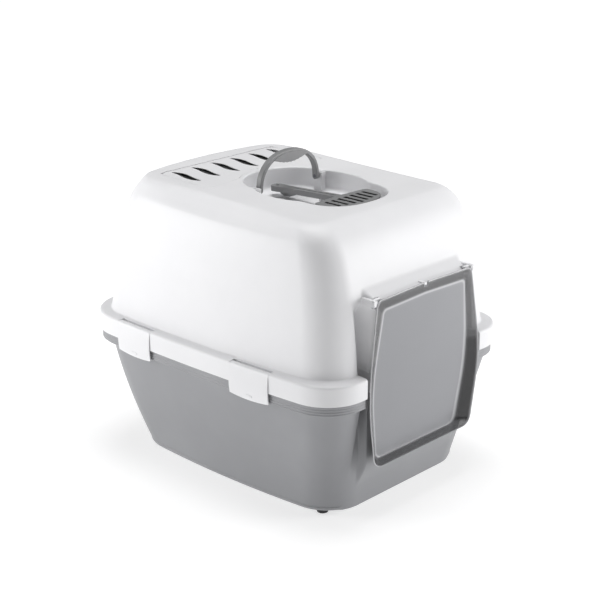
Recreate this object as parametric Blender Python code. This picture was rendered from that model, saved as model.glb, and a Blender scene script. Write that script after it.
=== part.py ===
"""Cat litter box with hood: a grey tray, a white hood with a swing flap, and the fittings that go with them.

The frame is in metres: +X to the right seen from the front, +Y to the rear, +Z up. The front and its doorway
face -Y. The origin is on the ground, under the middle of the object.
"""

import math
from dataclasses import dataclass, replace

import bmesh
import bpy
from mathutils import Matrix, Vector

MM = 0.001
GAP = 0.3 * MM

# Driving dimensions of the shells
WALL = 2.4 * MM
RIM_SIDE = 221.5 * MM
RIM_FRONT = -288 * MM
RIM_REAR = 290 * MM
RIM_BOTTOM = 211 * MM
RIM_TOP = 243.5 * MM
RIM_WALL = 3 * MM
RIM_FRONT_RADIUS = 68 * MM
RIM_REAR_RADIUS = 82 * MM
SIDE_BOW = 6.8 * MM
REAR_BOW = 10 * MM
BASE_HEIGHT = 8 * MM
LIP_BOTTOM = 194 * MM
LIP_INSET = 3.5 * MM
TRAY_WALL_INSET = 12 * MM
TRAY_REAR_INSET = 26 * MM
TRAY_BELLY = 0.75
UPSTAND_TOP = 226 * MM
ROOF_HEIGHT = 471.5 * MM
ROOF_SLOPE = 0.0214
ROOF_TILT_START = 400 * MM

# The porch round the doorway, and the recess on each side of it
PORCH_HALF = 119 * MM
SHOULDER_HALF = 138 * MM
PORCH_TOP = 352 * MM
PORCH_FACE = -279.9 * MM
PORCH_LEAN = 0.050
PORCH_LEDGE = 20 * MM
RECESS_FACE = -262 * MM
RECESS_TOP = 335 * MM
RECESS_FOOT = 60 * MM
TRAY_PORCH_FACE = -266.8 * MM
DOOR_TOP = (92 * MM, 338 * MM)
DOOR_MIDDLE = (108 * MM, 211 * MM)
DOOR_BOTTOM = (92 * MM, 108 * MM)
DOOR_CORNER = 12 * MM

# The flap, in its closed place
FLAP_THICKNESS = 2.2 * MM
FLAP_AXIS_Y = -281 * MM
FLAP_AXIS_Z = 357 * MM
FLAP_RIM_TOP = (113.5 * MM, 358 * MM, -284.5 * MM)
FLAP_RIM_MIDDLE = (137 * MM, 209.5 * MM, -290 * MM)
FLAP_RIM_BOTTOM = (118 * MM, 89.7 * MM, -288.3 * MM)
FLAP_PANE_TOP = (97.6 * MM, 340 * MM, -282.6 * MM)
FLAP_PANE_MIDDLE = (115 * MM, 214 * MM, -276 * MM)
FLAP_PANE_BOTTOM = (96 * MM, 94 * MM, -269.7 * MM)
FLAP_ARCH = 3 * MM
FLAP_PIN_RADIUS = 1.8 * MM
LUG_INNER = 116.3 * MM
LUG_OUTER = 121.3 * MM

# The well in the roof, the handle and the scoop
WELL_HALF = 80 * MM
WELL_FLOOR = 438 * MM
HANDLE_Y = 5 * MM
HANDLE_Z = 464 * MM
HANDLE_HALF = 66 * MM
HANDLE_RISE = 57 * MM
HANDLE_THICK = 6.5 * MM
GRIP_DEPTH = 13 * MM
HANDLE_WIDE = 11 * MM
HANDLE_PIN_RADIUS = 3 * MM
SCOOP_TOP = 463.5 * MM
SCOOP_HALF = 62 * MM
SCOOP_NECK = -107 * MM
SCOOP_TIP = -163 * MM
SCOOP_TAIL = 40 * MM
SCOOP_DIP = 0.05

# The vent cover and what is under it
VENT_HALF = 135 * MM
VENT_FRONT = 55 * MM
VENT_REAR = 170 * MM
VENT_THICKNESS = 3 * MM
SLOT_PITCH = 44 * MM
SLOT_Y = 128 * MM
SLOT_LENGTH = 72 * MM
SLOT_WIDTH = 11 * MM
FILTER_SIZE = (236 * MM, 66 * MM, 8 * MM)
FILTER_Y = 126 * MM

# The side clips
CLIP_LENGTH = 80 * MM
CLIP_FRONT_Y = -125 * MM
CLIP_REAR_Y = 138 * MM
CLIP_ROD_INSET = 8 * MM
CLIP_ROD_Z = 238.8 * MM
CLIP_ROD_RADIUS = 1.5 * MM
CLIP_KNUCKLE_RADIUS = 3.6 * MM

FOOT_RADIUS = 9 * MM
FOOT_HEIGHT = 7.7 * MM

ARC_STEPS = 8
ROOF = Matrix.Translation((0, 0, ROOF_HEIGHT)) @ Matrix.Rotation(math.atan(ROOF_SLOPE), 4, "X")


@dataclass(frozen=True)
class Section:
    """One level of a shell: a rounded rectangle whose front may carry the porch and its recesses."""

    z: float
    side: float
    front: float
    rear: float
    front_radius: float
    rear_radius: float
    porch: float | None = None
    recess: float | None = None
    bow: float = SIDE_BOW


# ---------------------------------------------------------------- scene and materials


def clear_scene():
    for found in list(bpy.data.objects):
        bpy.data.objects.remove(found, do_unlink=True)


def new_collection(name):
    made = bpy.data.collections.new(name)
    bpy.context.scene.collection.children.link(made)
    return made


def plastic(name, colour, roughness, alpha=1.0):
    made = bpy.data.materials.new(name)
    made.use_nodes = True
    shader = made.node_tree.nodes["Principled BSDF"]
    shader.inputs["Base Color"].default_value = (*colour, 1.0)
    shader.inputs["Roughness"].default_value = roughness
    shader.inputs["Metallic"].default_value = 0.0
    shader.inputs["Alpha"].default_value = alpha
    return made


clear_scene()
PARTS = new_collection("cat_litter_box")
CUTTERS = new_collection("cutters")
WHITE = (0.86, 0.86, 0.87)
GREY = (0.28, 0.28, 0.30)
DARK = (0.05, 0.05, 0.05)


def add_object(name, mesh, matrix=None):
    """Links a mesh as an object, in its place, as a part or (with no material) as a cutter."""
    if matrix is not None:
        mesh.transform(matrix)
    made = bpy.data.objects.new(name, mesh)
    if mesh.materials:
        PARTS.objects.link(made)
    else:
        CUTTERS.objects.link(made)
        made.hide_render = True
        made.display_type = "WIRE"
    return made


def set_origin(made, point):
    """Moves an object's origin to a point, with its shape left where it is."""
    made.data.transform(Matrix.Translation(-Vector(point)))
    made.location = point


def shade(mesh, degrees=35):
    mesh.shade_smooth()
    mesh.set_sharp_from_angle(angle=math.radians(degrees))


# ---------------------------------------------------------------- outlines


def rounded_polygon(corners, radius, steps=5):
    """A closed outline whose corners are arcs tangent to both sides; a corner may name its own radius."""
    points = []
    count = len(corners)
    for index, corner in enumerate(corners):
        here = Vector(corner[:2])
        own = corner[2] if len(corner) > 2 else radius
        before = (Vector(corners[index - 1][:2]) - here).normalized()
        after = (Vector(corners[(index + 1) % count][:2]) - here).normalized()
        half = before.angle(after) / 2
        reach = own / math.tan(half)
        centre = here + (before + after).normalized() * (own / math.sin(half))
        start = here + before * reach - centre
        turn = start.angle_signed(here + after * reach - centre)
        for step in range(steps + 1):
            points.append(tuple(centre + Matrix.Rotation(-turn * step / steps, 2) @ start))
    return points


def superellipse(half_x, half_y, centre_y, power, start, end, steps):
    """Points of an oval: each coordinate is the cosine or sine of the angle to the power 2 / power."""
    points = []
    for step in range(steps + 1):
        angle = start + (end - start) * step / steps
        cosine = math.cos(angle)
        sine = math.sin(angle)
        x = math.copysign(abs(cosine) ** (2 / power), cosine) * half_x
        y = math.copysign(abs(sine) ** (2 / power), sine) * half_y + centre_y
        points.append((x, y))
    return points


def mirrored(half):
    """Closes an outline given for +X, from its low end on the middle line to its high end."""
    own = [point for point in half if point[0] > GAP]
    return own + [(-x, y) for x, y in reversed(own)]


def well_outline(grow=0.0):
    side = WELL_HALF + grow
    front = superellipse(side, 76 * MM + grow, -96 * MM, 2.6, -math.pi / 2, 0, 12)
    rear = superellipse(side, 66 * MM + grow, 4 * MM, 2.0, 0, math.pi / 2, 12)
    return mirrored(front + rear)


def vent_outline(grow=0.0, rear_gap=0.0):
    """The vent cover's edge: its front goes round the well, and its rear corners are well rounded."""
    side = VENT_HALF + grow
    arc = superellipse(88 * MM - grow, 74 * MM - grow, 4 * MM, 2.0, math.pi / 2, 0.87, 8)
    corner = rounded_polygon(
        [
            (0, VENT_FRONT),
            (side, VENT_FRONT - 2 * MM - grow, 5 * MM),
            (side - 5 * MM, VENT_REAR + rear_gap, 16 * MM),
            (0, VENT_REAR + rear_gap),
        ],
        1 * MM,
    )
    wanted = [point for point in corner if point[0] > 5 * MM]
    return mirrored(arc + wanted + [(0, VENT_REAR + rear_gap)])


def six_sided(top, middle, bottom, radius, arch=0.0):
    """The door's outline: half widths and heights at its top, its widest level and its foot, x against z."""
    corners = [
        (bottom[0], bottom[1]),
        (middle[0], middle[1], 3 * radius),
        (top[0], top[1]),
        (0, top[1] + arch, 200 * MM),
        (-top[0], top[1]),
        (-middle[0], middle[1], 3 * radius),
        (-bottom[0], bottom[1]),
    ]
    if arch == 0.0:
        corners.pop(3)
    return rounded_polygon(corners, radius)


# ---------------------------------------------------------------- solids


def plate(name, outline, thickness, matrix=None, material=None):
    """A flat outline given a thickness, centred on its own plane, as a mesh."""
    curve = bpy.data.curves.new(name, "CURVE")
    curve.dimensions = "2D"
    curve.fill_mode = "BOTH"
    curve.extrude = thickness / 2
    spline = curve.splines.new("POLY")
    spline.points.add(len(outline) - 1)
    for point, place in zip(spline.points, outline):
        point.co = (place[0], place[1], 0, 1)
    spline.use_cyclic_u = True
    drawn = bpy.data.objects.new(name + "_outline", curve)
    CUTTERS.objects.link(drawn)
    bpy.context.view_layer.update()
    evaluated = drawn.evaluated_get(bpy.context.evaluated_depsgraph_get())
    mesh = bpy.data.meshes.new_from_object(evaluated)
    bpy.data.objects.remove(drawn, do_unlink=True)
    tidy = bmesh.new()
    tidy.from_mesh(mesh)
    bmesh.ops.remove_doubles(tidy, verts=tidy.verts, dist=0.00001)
    bmesh.ops.recalc_face_normals(tidy, faces=tidy.faces)
    tidy.to_mesh(mesh)
    tidy.free()
    mesh.name = name
    mesh.materials.clear()
    if material:
        mesh.materials.append(material)
        shade(mesh)
    return add_object(name, mesh, matrix)


def box(name, low, high, matrix=None, material=None):
    mesh = bpy.data.meshes.new(name)
    made = bmesh.new()
    bmesh.ops.create_cube(made, size=1.0)
    size = [b - a for a, b in zip(low, high)]
    middle = [(a + b) / 2 for a, b in zip(low, high)]
    place = Matrix.Translation(middle) @ Matrix.Diagonal((*size, 1))
    bmesh.ops.transform(made, matrix=place, verts=made.verts)
    made.to_mesh(mesh)
    made.free()
    if material:
        mesh.materials.append(material)
    return add_object(name, mesh, matrix)


def rod(name, radius, start, end, matrix=None, material=None, sides=20, tip=None):
    """A round bar from one point to another; a tip radius makes it a cone."""
    start = Vector(start)
    along = Vector(end) - start
    mesh = bpy.data.meshes.new(name)
    made = bmesh.new()
    far = radius if tip is None else tip
    sizes = {"radius1": radius, "radius2": far, "depth": along.length}
    bmesh.ops.create_cone(made, cap_ends=True, segments=sides, **sizes)
    turn = along.to_track_quat("Z", "Y").to_matrix().to_4x4()
    bmesh.ops.transform(made, matrix=Matrix.Translation(start + along / 2) @ turn, verts=made.verts)
    made.to_mesh(mesh)
    made.free()
    if material:
        mesh.materials.append(material)
        shade(mesh)
    return add_object(name, mesh, matrix)


def loft(name, rings, material):
    """A closed body through rings of equal count: the first and last rings are capped."""
    mesh = bpy.data.meshes.new(name)
    made = bmesh.new()
    rows = [[made.verts.new(point) for point in ring] for ring in rings]
    made.faces.new(list(reversed(rows[0])))
    made.faces.new(rows[-1])
    for lower, upper in zip(rows, rows[1:]):
        for index in range(len(lower)):
            after = (index + 1) % len(lower)
            made.faces.new((lower[index], lower[after], upper[after], upper[index]))
    made.to_mesh(mesh)
    made.free()
    mesh.materials.append(material)
    shade(mesh)
    return add_object(name, mesh)


def combine(target, operand, operation):
    step = target.modifiers.new(f"{operation.lower()}_{operand.name}", "BOOLEAN")
    step.operation = operation
    step.solver = "EXACT"
    step.object = operand


def cut(target, *operands):
    for operand in operands:
        combine(target, operand, "DIFFERENCE")


def join(target, *operands):
    for operand in operands:
        combine(target, operand, "UNION")


# ---------------------------------------------------------------- shells


def blend(low, high, share):
    return low + (high - low) * min(1.0, max(0.0, share))


def porch_face(z):
    return PORCH_FACE + (PORCH_TOP - z) * PORCH_LEAN


def roof_tilt(z, y):
    """The roof rises to the rear, and the walls take up the slope over their upper part."""
    share = min(1.0, max(0.0, (z - ROOF_TILT_START) / (ROOF_HEIGHT - ROOF_TILT_START)))
    return z + y * ROOF_SLOPE * share


def ring(section):
    """The section's points, from the middle of the front round by +X and back."""
    front_x = section.side - section.front_radius
    rear_x = section.side - section.rear_radius
    front_y = section.front + section.front_radius
    rear_y = section.rear - REAR_BOW - section.rear_radius
    porch = section.front if section.porch is None else section.porch
    recess = section.front if section.recess is None else section.recess
    fit = min(1.0, (front_x - 1 * MM) / SHOULDER_HALF)
    half = [
        (0, porch),
        (PORCH_HALF * 0.5 * fit, porch),
        ((PORCH_HALF - 5 * MM) * fit, porch),
        (PORCH_HALF * fit, blend(porch, recess, 0.25)),
        ((PORCH_HALF + 2 * MM) * fit, recess),
        ((SHOULDER_HALF - 3 * MM) * fit, recess),
        (SHOULDER_HALF * fit, section.front),
    ]
    for step in range(ARC_STEPS + 1):
        angle = -math.pi / 2 + math.pi / 2 * step / ARC_STEPS
        x = front_x + section.front_radius * math.cos(angle)
        half.append((x, front_y + section.front_radius * math.sin(angle)))
    for step in range(1, 6):
        share = step / 6
        bow = section.bow * (1 - (2 * share - 1) ** 2)
        half.append((section.side + bow, blend(front_y, rear_y, share)))
    for step in range(ARC_STEPS + 1):
        angle = math.pi / 2 * step / ARC_STEPS
        x = rear_x + section.rear_radius * math.cos(angle)
        half.append((x, rear_y + section.rear_radius * math.sin(angle)))
    half.append((rear_x / 2, section.rear - REAR_BOW / 4))
    half.append((0, section.rear))
    other = [(-x, y) for x, y in reversed(half[1:-1])]
    return [Vector((x, y, roof_tilt(section.z, y))) for x, y in half + other]


def inset(section, amount, z=None, **changes):
    """The same section drawn in on every side, at its own or another height."""
    return replace(
        section,
        z=section.z if z is None else z,
        side=section.side - amount,
        front=section.front + amount,
        rear=section.rear - amount,
        front_radius=section.front_radius - amount,
        rear_radius=section.rear_radius - amount,
        **changes,
    )


def rim_section(z):
    """A level of the rim band, which the tray's lip follows a little further in."""
    face = porch_face(z) if z >= RIM_BOTTOM + GAP else TRAY_PORCH_FACE
    return Section(z, RIM_SIDE, RIM_FRONT, RIM_REAR, RIM_FRONT_RADIUS, RIM_REAR_RADIUS, face, RECESS_FACE)


def hood_section(z, side, front, rear, front_radius, rear_radius):
    """A level of the hood's wall, with as much of the porch and the recess as that height has."""
    ledge = (z - PORCH_TOP) / PORCH_LEDGE
    fade = (z - RECESS_TOP) / (PORCH_TOP - RECESS_TOP)
    porch = blend(porch_face(z), front, ledge)
    recess = blend(RECESS_FACE, front, fade)
    return Section(z, side, front, rear, front_radius, rear_radius, porch, recess)


def hood_walls():
    levels = (
        (246, 204, -270, 269, 60, 66, 6.8),
        (290, 200, -266, 261, 60, 66, 6.8),
        (335, 196, -261, 252, 60, 65, 6.8),
        (352, 195, -258, 248, 59, 65, 6.8),
        (372, 193, -254, 244, 58, 64, 6.8),
        (398, 191, -248, 239, 56, 62, 6.8),
        (425, 188, -240, 233, 54, 60, 6.8),
        (445, 184, -230, 225, 50, 60, 6.8),
        (457, 177, -220, 218, 44, 58, -2),
        (466, 169, -207, 212, 38, 54, -6),
        (470.5, 158, -195, 207, 30, 46, -1.5),
        (471.5, 148, -182, 197, 24, 42, 4),
    )
    sections = []
    for level in levels:
        z, side, front, rear, front_radius, rear_radius, bow = (value * MM for value in level)
        section = hood_section(z, side, front, rear, front_radius, rear_radius)
        sections.append(replace(section, bow=bow))
    return sections


def hood_shell():
    """The hood's skin, wall by wall: down the inside, under the rim band, and up the outside."""
    walls = hood_walls()
    back = RECESS_FACE + WALL
    inner = []
    for section in walls:
        z = section.z - (WALL if section.z > 464 * MM else 0.6 * WALL if section.z > 450 * MM else 0)
        plain = max(section.front + WALL, back) if section.z < PORCH_TOP + PORCH_LEDGE else None
        inner.append(inset(section, WALL, z=z, porch=plain, recess=plain))
    rings = [ring(section) for section in reversed(inner)]
    under = RIM_TOP - RIM_WALL
    rings.append(ring(inset(walls[0], WALL, z=under, porch=back, recess=back)))
    for z, amount in ((under, 15 * MM), (under, RIM_WALL), (RIM_BOTTOM + GAP, RIM_WALL)):
        rings.append(ring(inset(rim_section(z), amount, porch=back, recess=back)))
    for z, amount in ((RIM_BOTTOM + GAP, 0), (239 * MM, 0), (242 * MM, 1.4 * MM), (RIM_TOP, 4.5 * MM)):
        section = rim_section(z)
        rings.append(ring(inset(section, amount, porch=section.porch, recess=section.recess)))
    rings += [ring(section) for section in walls]
    return loft("hood", rings, WHITE_PLASTIC)


def tray_section(z, amount=0.0):
    """The tray's wall leans in towards its foot, and the recess beside the porch fades out above it."""
    share = (z - BASE_HEIGHT) / (LIP_BOTTOM - BASE_HEIGHT)
    full = share * (1 + TRAY_BELLY * (1 - share))
    front = blend(-242 * MM, RIM_FRONT + TRAY_WALL_INSET, share)
    fade = min(1.0, max(0.0, (z - RECESS_FOOT) / (LIP_BOTTOM - RECESS_FOOT)))
    proud = min(1.0, max(0.0, (z - 45 * MM) / (100 * MM - 45 * MM)))
    section = Section(
        z,
        blend(170 * MM, RIM_SIDE - TRAY_WALL_INSET, share),
        front,
        blend(210 * MM, RIM_REAR - TRAY_REAR_INSET, full),
        blend(66 * MM, RIM_FRONT_RADIUS - TRAY_WALL_INSET, share),
        blend(62 * MM, RIM_REAR_RADIUS - TRAY_WALL_INSET, share),
        blend(front, TRAY_PORCH_FACE, proud),
        blend(front, RECESS_FACE, fade),
    )
    if not amount:
        return section
    plain = max(section.recess, section.porch, front) + amount
    return inset(section, amount, porch=plain, recess=plain)


def tray_shell():
    """The tray's skin: under the floor, up the outside, round the lip and upstand, and down the inside."""
    foot = tray_section(BASE_HEIGHT)
    low = replace(tray_section(14 * MM), porch=None, recess=None)
    rings = [ring(inset(foot, 4 * MM, porch=None, recess=None)), ring(low)]
    for z in (26, 45, 60, 80, 100, 130, 165):
        rings.append(ring(tray_section(z * MM)))
    rings.append(ring(tray_section(LIP_BOTTOM)))
    for z in (LIP_BOTTOM + 0.5 * MM, RIM_BOTTOM):
        lip = rim_section(z)
        rings.append(ring(inset(lip, LIP_INSET, porch=lip.porch, recess=lip.recess)))
    top = tray_section(LIP_BOTTOM)
    behind = RECESS_FACE + WALL + 0.6 * MM
    rings.append(ring(inset(top, 0, z=RIM_BOTTOM, porch=behind, recess=behind)))
    rings.append(ring(inset(top, 0.8 * MM, z=UPSTAND_TOP, porch=behind, recess=behind)))
    flat = behind + WALL
    rings.append(ring(inset(top, WALL + 0.4 * MM, z=UPSTAND_TOP, porch=flat, recess=flat)))
    for z in (LIP_BOTTOM, 130 * MM, 60 * MM, 26 * MM):
        rings.append(ring(tray_section(z, WALL)))
    rings.append(ring(inset(tray_section(14 * MM), WALL + 3 * MM, porch=None, recess=None)))
    floor = inset(foot, 10 * MM, z=BASE_HEIGHT + WALL, porch=None, recess=None)
    rings.append(ring(floor))
    return loft("tray", rings, GREY_PLASTIC)


# ---------------------------------------------------------------- openings in the shells


def doorway():
    """The doorway's cutter, through the front of the hood and of the tray."""
    outline = six_sided(DOOR_TOP, DOOR_MIDDLE, DOOR_BOTTOM, DOOR_CORNER)
    middle = (-320 * MM - 215 * MM) / 2
    upright = Matrix.Translation((0, middle, 0)) @ Matrix.Rotation(math.pi / 2, 4, "X")
    return plate("doorway_cut", outline, 105 * MM, upright)


def deep(name, outline, low, high):
    """An upright prism between two heights measured from the roof's plane."""
    place = ROOF @ Matrix.Translation((0, 0, (low + high) / 2))
    return plate(name, outline, high - low, place)


def add_well(hood):
    """The well is joined on as a solid and then hollowed, so that it keeps a wall all round."""
    floor = WELL_FLOOR - ROOF_HEIGHT
    join(hood, deep("well_block", well_outline(WALL), floor - WALL, -1 * MM))
    cut(hood, deep("well_cut", well_outline(), floor, 20 * MM))
    for side in (-1, 1):
        ends = sorted((side * (HANDLE_HALF + 4.6 * MM), side * (WELL_HALF + 1 * MM)))
        low = (ends[0], HANDLE_Y - 13 * MM, WELL_FLOOR - 1 * MM)
        high = (ends[1], HANDLE_Y + 13 * MM, HANDLE_Z + 6 * MM)
        join(hood, box(f"bearing_{side}", low, high))
        inner = (side * HANDLE_HALF, HANDLE_Y, HANDLE_Z)
        outer = (side * (HANDLE_HALF + 13 * MM), HANDLE_Y, HANDLE_Z)
        cut(hood, rod(f"bearing_hole_{side}", HANDLE_PIN_RADIUS + GAP, inner, outer))
    for name, half, y, under in (("front", 40 * MM, -135 * MM, 3 * MM), ("rear", 6 * MM, -70 * MM, 11 * MM)):
        low = (-half, y - 1.5 * MM, WELL_FLOOR + y * ROOF_SLOPE - 1 * MM)
        join(hood, box(f"scoop_rest_{name}", low, (half, y + 1.5 * MM, SCOOP_TOP - under - GAP)))


def add_vent_seat(hood):
    """The seat of the vent cover, the filter's pocket below it and the openings in the pocket's floor."""
    seat = -VENT_THICKNESS - GAP
    pocket = seat - FILTER_SIZE[2] - 0.6 * MM
    join(hood, deep("seat_block", vent_outline(3 * MM, 6 * MM), pocket - WALL, -1.3 * MM))
    cut(hood, deep("seat_cut", vent_outline(0.6 * MM, 2 * MM), seat, 20 * MM))
    half = FILTER_SIZE[0] / 2 + 1 * MM
    deepest = FILTER_SIZE[1] / 2 + 1 * MM
    low = (-half, FILTER_Y - deepest, pocket)
    cut(hood, box("pocket_cut", low, (half, FILTER_Y + deepest, 0), ROOF))
    low = (-VENT_HALF + 9 * MM, VENT_REAR - 9 * MM, seat - 3.5 * MM)
    cut(hood, box("hinge_relief", low, (VENT_HALF - 9 * MM, VENT_REAR + 1 * MM, 0), ROOF))
    for index in range(5):
        x = (index - 2) * 46 * MM
        low = (x - 17 * MM, FILTER_Y - 24 * MM, pocket - 2 * WALL)
        cut(hood, box(f"air_opening_{index}", low, (x + 17 * MM, FILTER_Y + 24 * MM, 0), ROOF))
    for side in (-1, 1):
        inner = (side * (VENT_HALF - 25 * MM), VENT_REAR - 3 * MM, -VENT_THICKNESS / 2)
        outer = (side * (VENT_HALF - 2.5 * MM), VENT_REAR - 3 * MM, -VENT_THICKNESS / 2)
        cut(hood, rod(f"vent_pin_hole_{side}", 1.6 * MM, inner, outer, ROOF, sides=12))


def rim_side(y):
    """The rim band's half width at a place along its side."""
    front = RIM_FRONT + RIM_FRONT_RADIUS
    rear = RIM_REAR - RIM_REAR_RADIUS
    share = (y - (front + rear) / 2) / ((rear - front) / 2)
    return RIM_SIDE + SIDE_BOW * (1 - share * share)


def clip_frame(y, side):
    """A clip's own frame: its origin on the rod, X out of the rim band and Y along it."""
    ahead = rim_side(y + CLIP_LENGTH / 2)
    behind = rim_side(y - CLIP_LENGTH / 2)
    lean = math.atan2(behind - ahead, CLIP_LENGTH)
    x = (ahead + behind) / 2 - CLIP_ROD_INSET
    turn = lean if side > 0 else math.pi - lean
    return Matrix.Translation((side * x, y, CLIP_ROD_Z)) @ Matrix.Rotation(turn, 4, "Z")


CLIPS = {
    "front_left": (CLIP_FRONT_Y, -1),
    "front_right": (CLIP_FRONT_Y, 1),
    "rear_left": (CLIP_REAR_Y, -1),
    "rear_right": (CLIP_REAR_Y, 1),
}


def add_clip_seats(hood):
    """Each clip's gap in the rim band, with a boss at both ends that holds its rod."""
    for name, (y, side) in CLIPS.items():
        frame = clip_frame(y, side)
        half = CLIP_LENGTH / 2 + 0.5 * MM
        for end in (-1, 1):
            span = sorted((end * (half - 0.2 * MM), end * (half + 5 * MM)))
            low = (-4 * MM, span[0], -5 * MM)
            join(hood, box(f"boss_{name}_{end}", low, (4 * MM, span[1], 3 * MM), frame))
        low = (-4.3 * MM, -half, RIM_BOTTOM - CLIP_ROD_Z - 2 * MM)
        cut(hood, box(f"clip_gap_{name}", low, (16 * MM, half, 12 * MM), frame))
        reach = CLIP_LENGTH / 2 + 4.3 * MM
        hole = rod(f"rod_hole_{name}", CLIP_ROD_RADIUS + GAP, (0, -reach, 0), (0, reach, 0), frame, sides=12)
        cut(hood, hole)


def add_flap_lugs(hood):
    """An ear beside each top corner of the flap carries its pin, and a pocket takes the hinge block."""
    for side in (-1, 1):
        span = sorted((side * 99.5 * MM, side * 115.5 * MM))
        low = (span[0], PORCH_FACE - 20 * MM, FLAP_AXIS_Z - 12 * MM)
        cut(hood, box(f"hinge_pocket_{side}", low, (span[1], -271 * MM, FLAP_AXIS_Z + 9 * MM)))
        span = sorted((side * LUG_INNER, side * LUG_OUTER))
        low = (span[0], FLAP_AXIS_Y - 4 * MM, FLAP_AXIS_Z - 8 * MM)
        join(hood, box(f"lug_{side}", low, (span[1], -256.5 * MM, FLAP_AXIS_Z + 4 * MM)))
        inner = (side * (LUG_INNER - 3 * MM), FLAP_AXIS_Y, FLAP_AXIS_Z)
        outer = (side * (LUG_OUTER + 3 * MM), FLAP_AXIS_Y, FLAP_AXIS_Z)
        cut(hood, rod(f"lug_hole_{side}", FLAP_PIN_RADIUS + GAP, inner, outer, sides=16))
    low = (-3 * MM, FLAP_AXIS_Y - 2 * MM, FLAP_AXIS_Z - 0.5 * MM)
    join(hood, box("flap_tab", low, (3 * MM, -268 * MM, FLAP_AXIS_Z + 3 * MM)))


def build_shells():
    door = doorway()
    hood = hood_shell()
    add_well(hood)
    add_vent_seat(hood)
    add_clip_seats(hood)
    cut(hood, door)
    add_flap_lugs(hood)
    tray = tray_shell()
    cut(tray, door)


# ---------------------------------------------------------------- flap


def flap_depth(z, levels):
    """Where the flap stands at a height, read straight between its top, widest level and foot."""
    top, middle, bottom = levels
    if z > middle[1]:
        return blend(middle[2], top[2], (z - middle[1]) / (top[1] - middle[1]))
    return blend(bottom[2], middle[2], (z - bottom[1]) / (middle[1] - bottom[1]))


def flap_ring(levels, radius, shift):
    outline = six_sided(*(level[:2] for level in levels), radius, FLAP_ARCH)
    return [Vector((x, flap_depth(z, levels) + shift, z)) for x, z in outline]


def build_flap():
    """A dish: the pane is set back, and its wall flares out to the rim."""
    rim = (FLAP_RIM_TOP, FLAP_RIM_MIDDLE, FLAP_RIM_BOTTOM)
    pane = (FLAP_PANE_TOP, FLAP_PANE_MIDDLE, FLAP_PANE_BOTTOM)
    rings = [
        flap_ring(pane, 8 * MM, 0),
        flap_ring(rim, 10 * MM, 0),
        flap_ring(rim, 10 * MM, FLAP_THICKNESS),
        flap_ring(pane, 8 * MM, FLAP_THICKNESS),
    ]
    flap = loft("flap", rings, SMOKED)
    low = (-5 * MM, FLAP_AXIS_Y - 10 * MM, FLAP_AXIS_Z - 3 * MM)
    cut(flap, box("flap_notch", low, (5 * MM, FLAP_AXIS_Y + 10 * MM, FLAP_AXIS_Z + 9 * MM)))
    axis = (0, FLAP_AXIS_Y, FLAP_AXIS_Z)
    set_origin(flap, axis)
    for name, side in (("left", -1), ("right", 1)):
        span = sorted((side * 101 * MM, side * 114.2 * MM))
        low = (span[0], FLAP_AXIS_Y + 1 * MM, FLAP_AXIS_Z - 8 * MM)
        high = (span[1], FLAP_AXIS_Y + 6 * MM, FLAP_AXIS_Z + 3 * MM)
        block = box(f"flap_hinge_{name}", low, high, None, WHITE_PLASTIC)
        span = sorted((side * 113.7 * MM, side * 115.7 * MM))
        low = (span[0], FLAP_AXIS_Y - 2.5 * MM, FLAP_AXIS_Z - 3 * MM)
        join(block, box(f"hinge_ear_{name}", low, (span[1], FLAP_AXIS_Y + 6 * MM, FLAP_AXIS_Z + 3 * MM)))
        inner = (side * 114.5 * MM, FLAP_AXIS_Y, FLAP_AXIS_Z)
        outer = (side * (LUG_OUTER + 0.5 * MM), FLAP_AXIS_Y, FLAP_AXIS_Z)
        join(block, rod(f"hinge_pin_{name}", FLAP_PIN_RADIUS, inner, outer, sides=16))
        set_origin(block, axis)


# ---------------------------------------------------------------- handle and scoop


def arch(outer, steps, start=0.0, end=math.pi):
    half = HANDLE_HALF + outer
    return superellipse(half, HANDLE_RISE - HANDLE_THICK / 2 + outer, 0, 2.25, start, end, steps)


def build_handle():
    axis = Vector((0, HANDLE_Y, HANDLE_Z))
    upright = Matrix.Translation(axis) @ Matrix.Rotation(math.pi / 2, 4, "X")
    foot = -HANDLE_WIDE / 2
    outer = arch(HANDLE_THICK / 2, 28)
    inner = arch(-HANDLE_THICK / 2, 28)
    outline = [(outer[0][0], foot), *outer, (outer[-1][0], foot), (inner[-1][0], foot), *reversed(inner)]
    outline.append((inner[0][0], foot))
    handle = plate("handle", outline, HANDLE_WIDE, upright, GREY_PLASTIC)
    for name, side in (("left", -1), ("right", 1)):
        inner_end = axis + Vector((side * (HANDLE_HALF - 9 * MM), 0, 0))
        outer_end = axis + Vector((side * (HANDLE_HALF + 9 * MM), 0, 0))
        cut(handle, rod(f"leg_hole_{name}", HANDLE_PIN_RADIUS + GAP, inner_end, outer_end))
        inner_end = axis + Vector((side * (HANDLE_HALF - 3 * MM), 0, 0))
        outer_end = axis + Vector((side * (HANDLE_HALF + 12 * MM), 0, 0))
        pin = rod(f"handle_pin_{name}", HANDLE_PIN_RADIUS, inner_end, outer_end, None, PIN_PLASTIC)
        set_origin(pin, axis)
    start = math.radians(57)
    top = arch(-HANDLE_THICK / 2 - GAP, 12, start, math.pi - start)
    widest = top[0][0]
    under = [(x, z - GRIP_DEPTH * (1 - (x / widest) ** 2) - 0.6 * MM) for x, z in top]
    grip = plate("handle_grip", top + under[::-1], HANDLE_WIDE + 3 * MM, upright, GRIP)
    set_origin(handle, axis)
    set_origin(grip, axis)


def slot_outline(x, half, front, rear, radius):
    corners = [(x - half, front), (x + half, front), (x + half, rear), (x - half, rear)]
    return rounded_polygon(corners, radius, 3)


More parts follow.
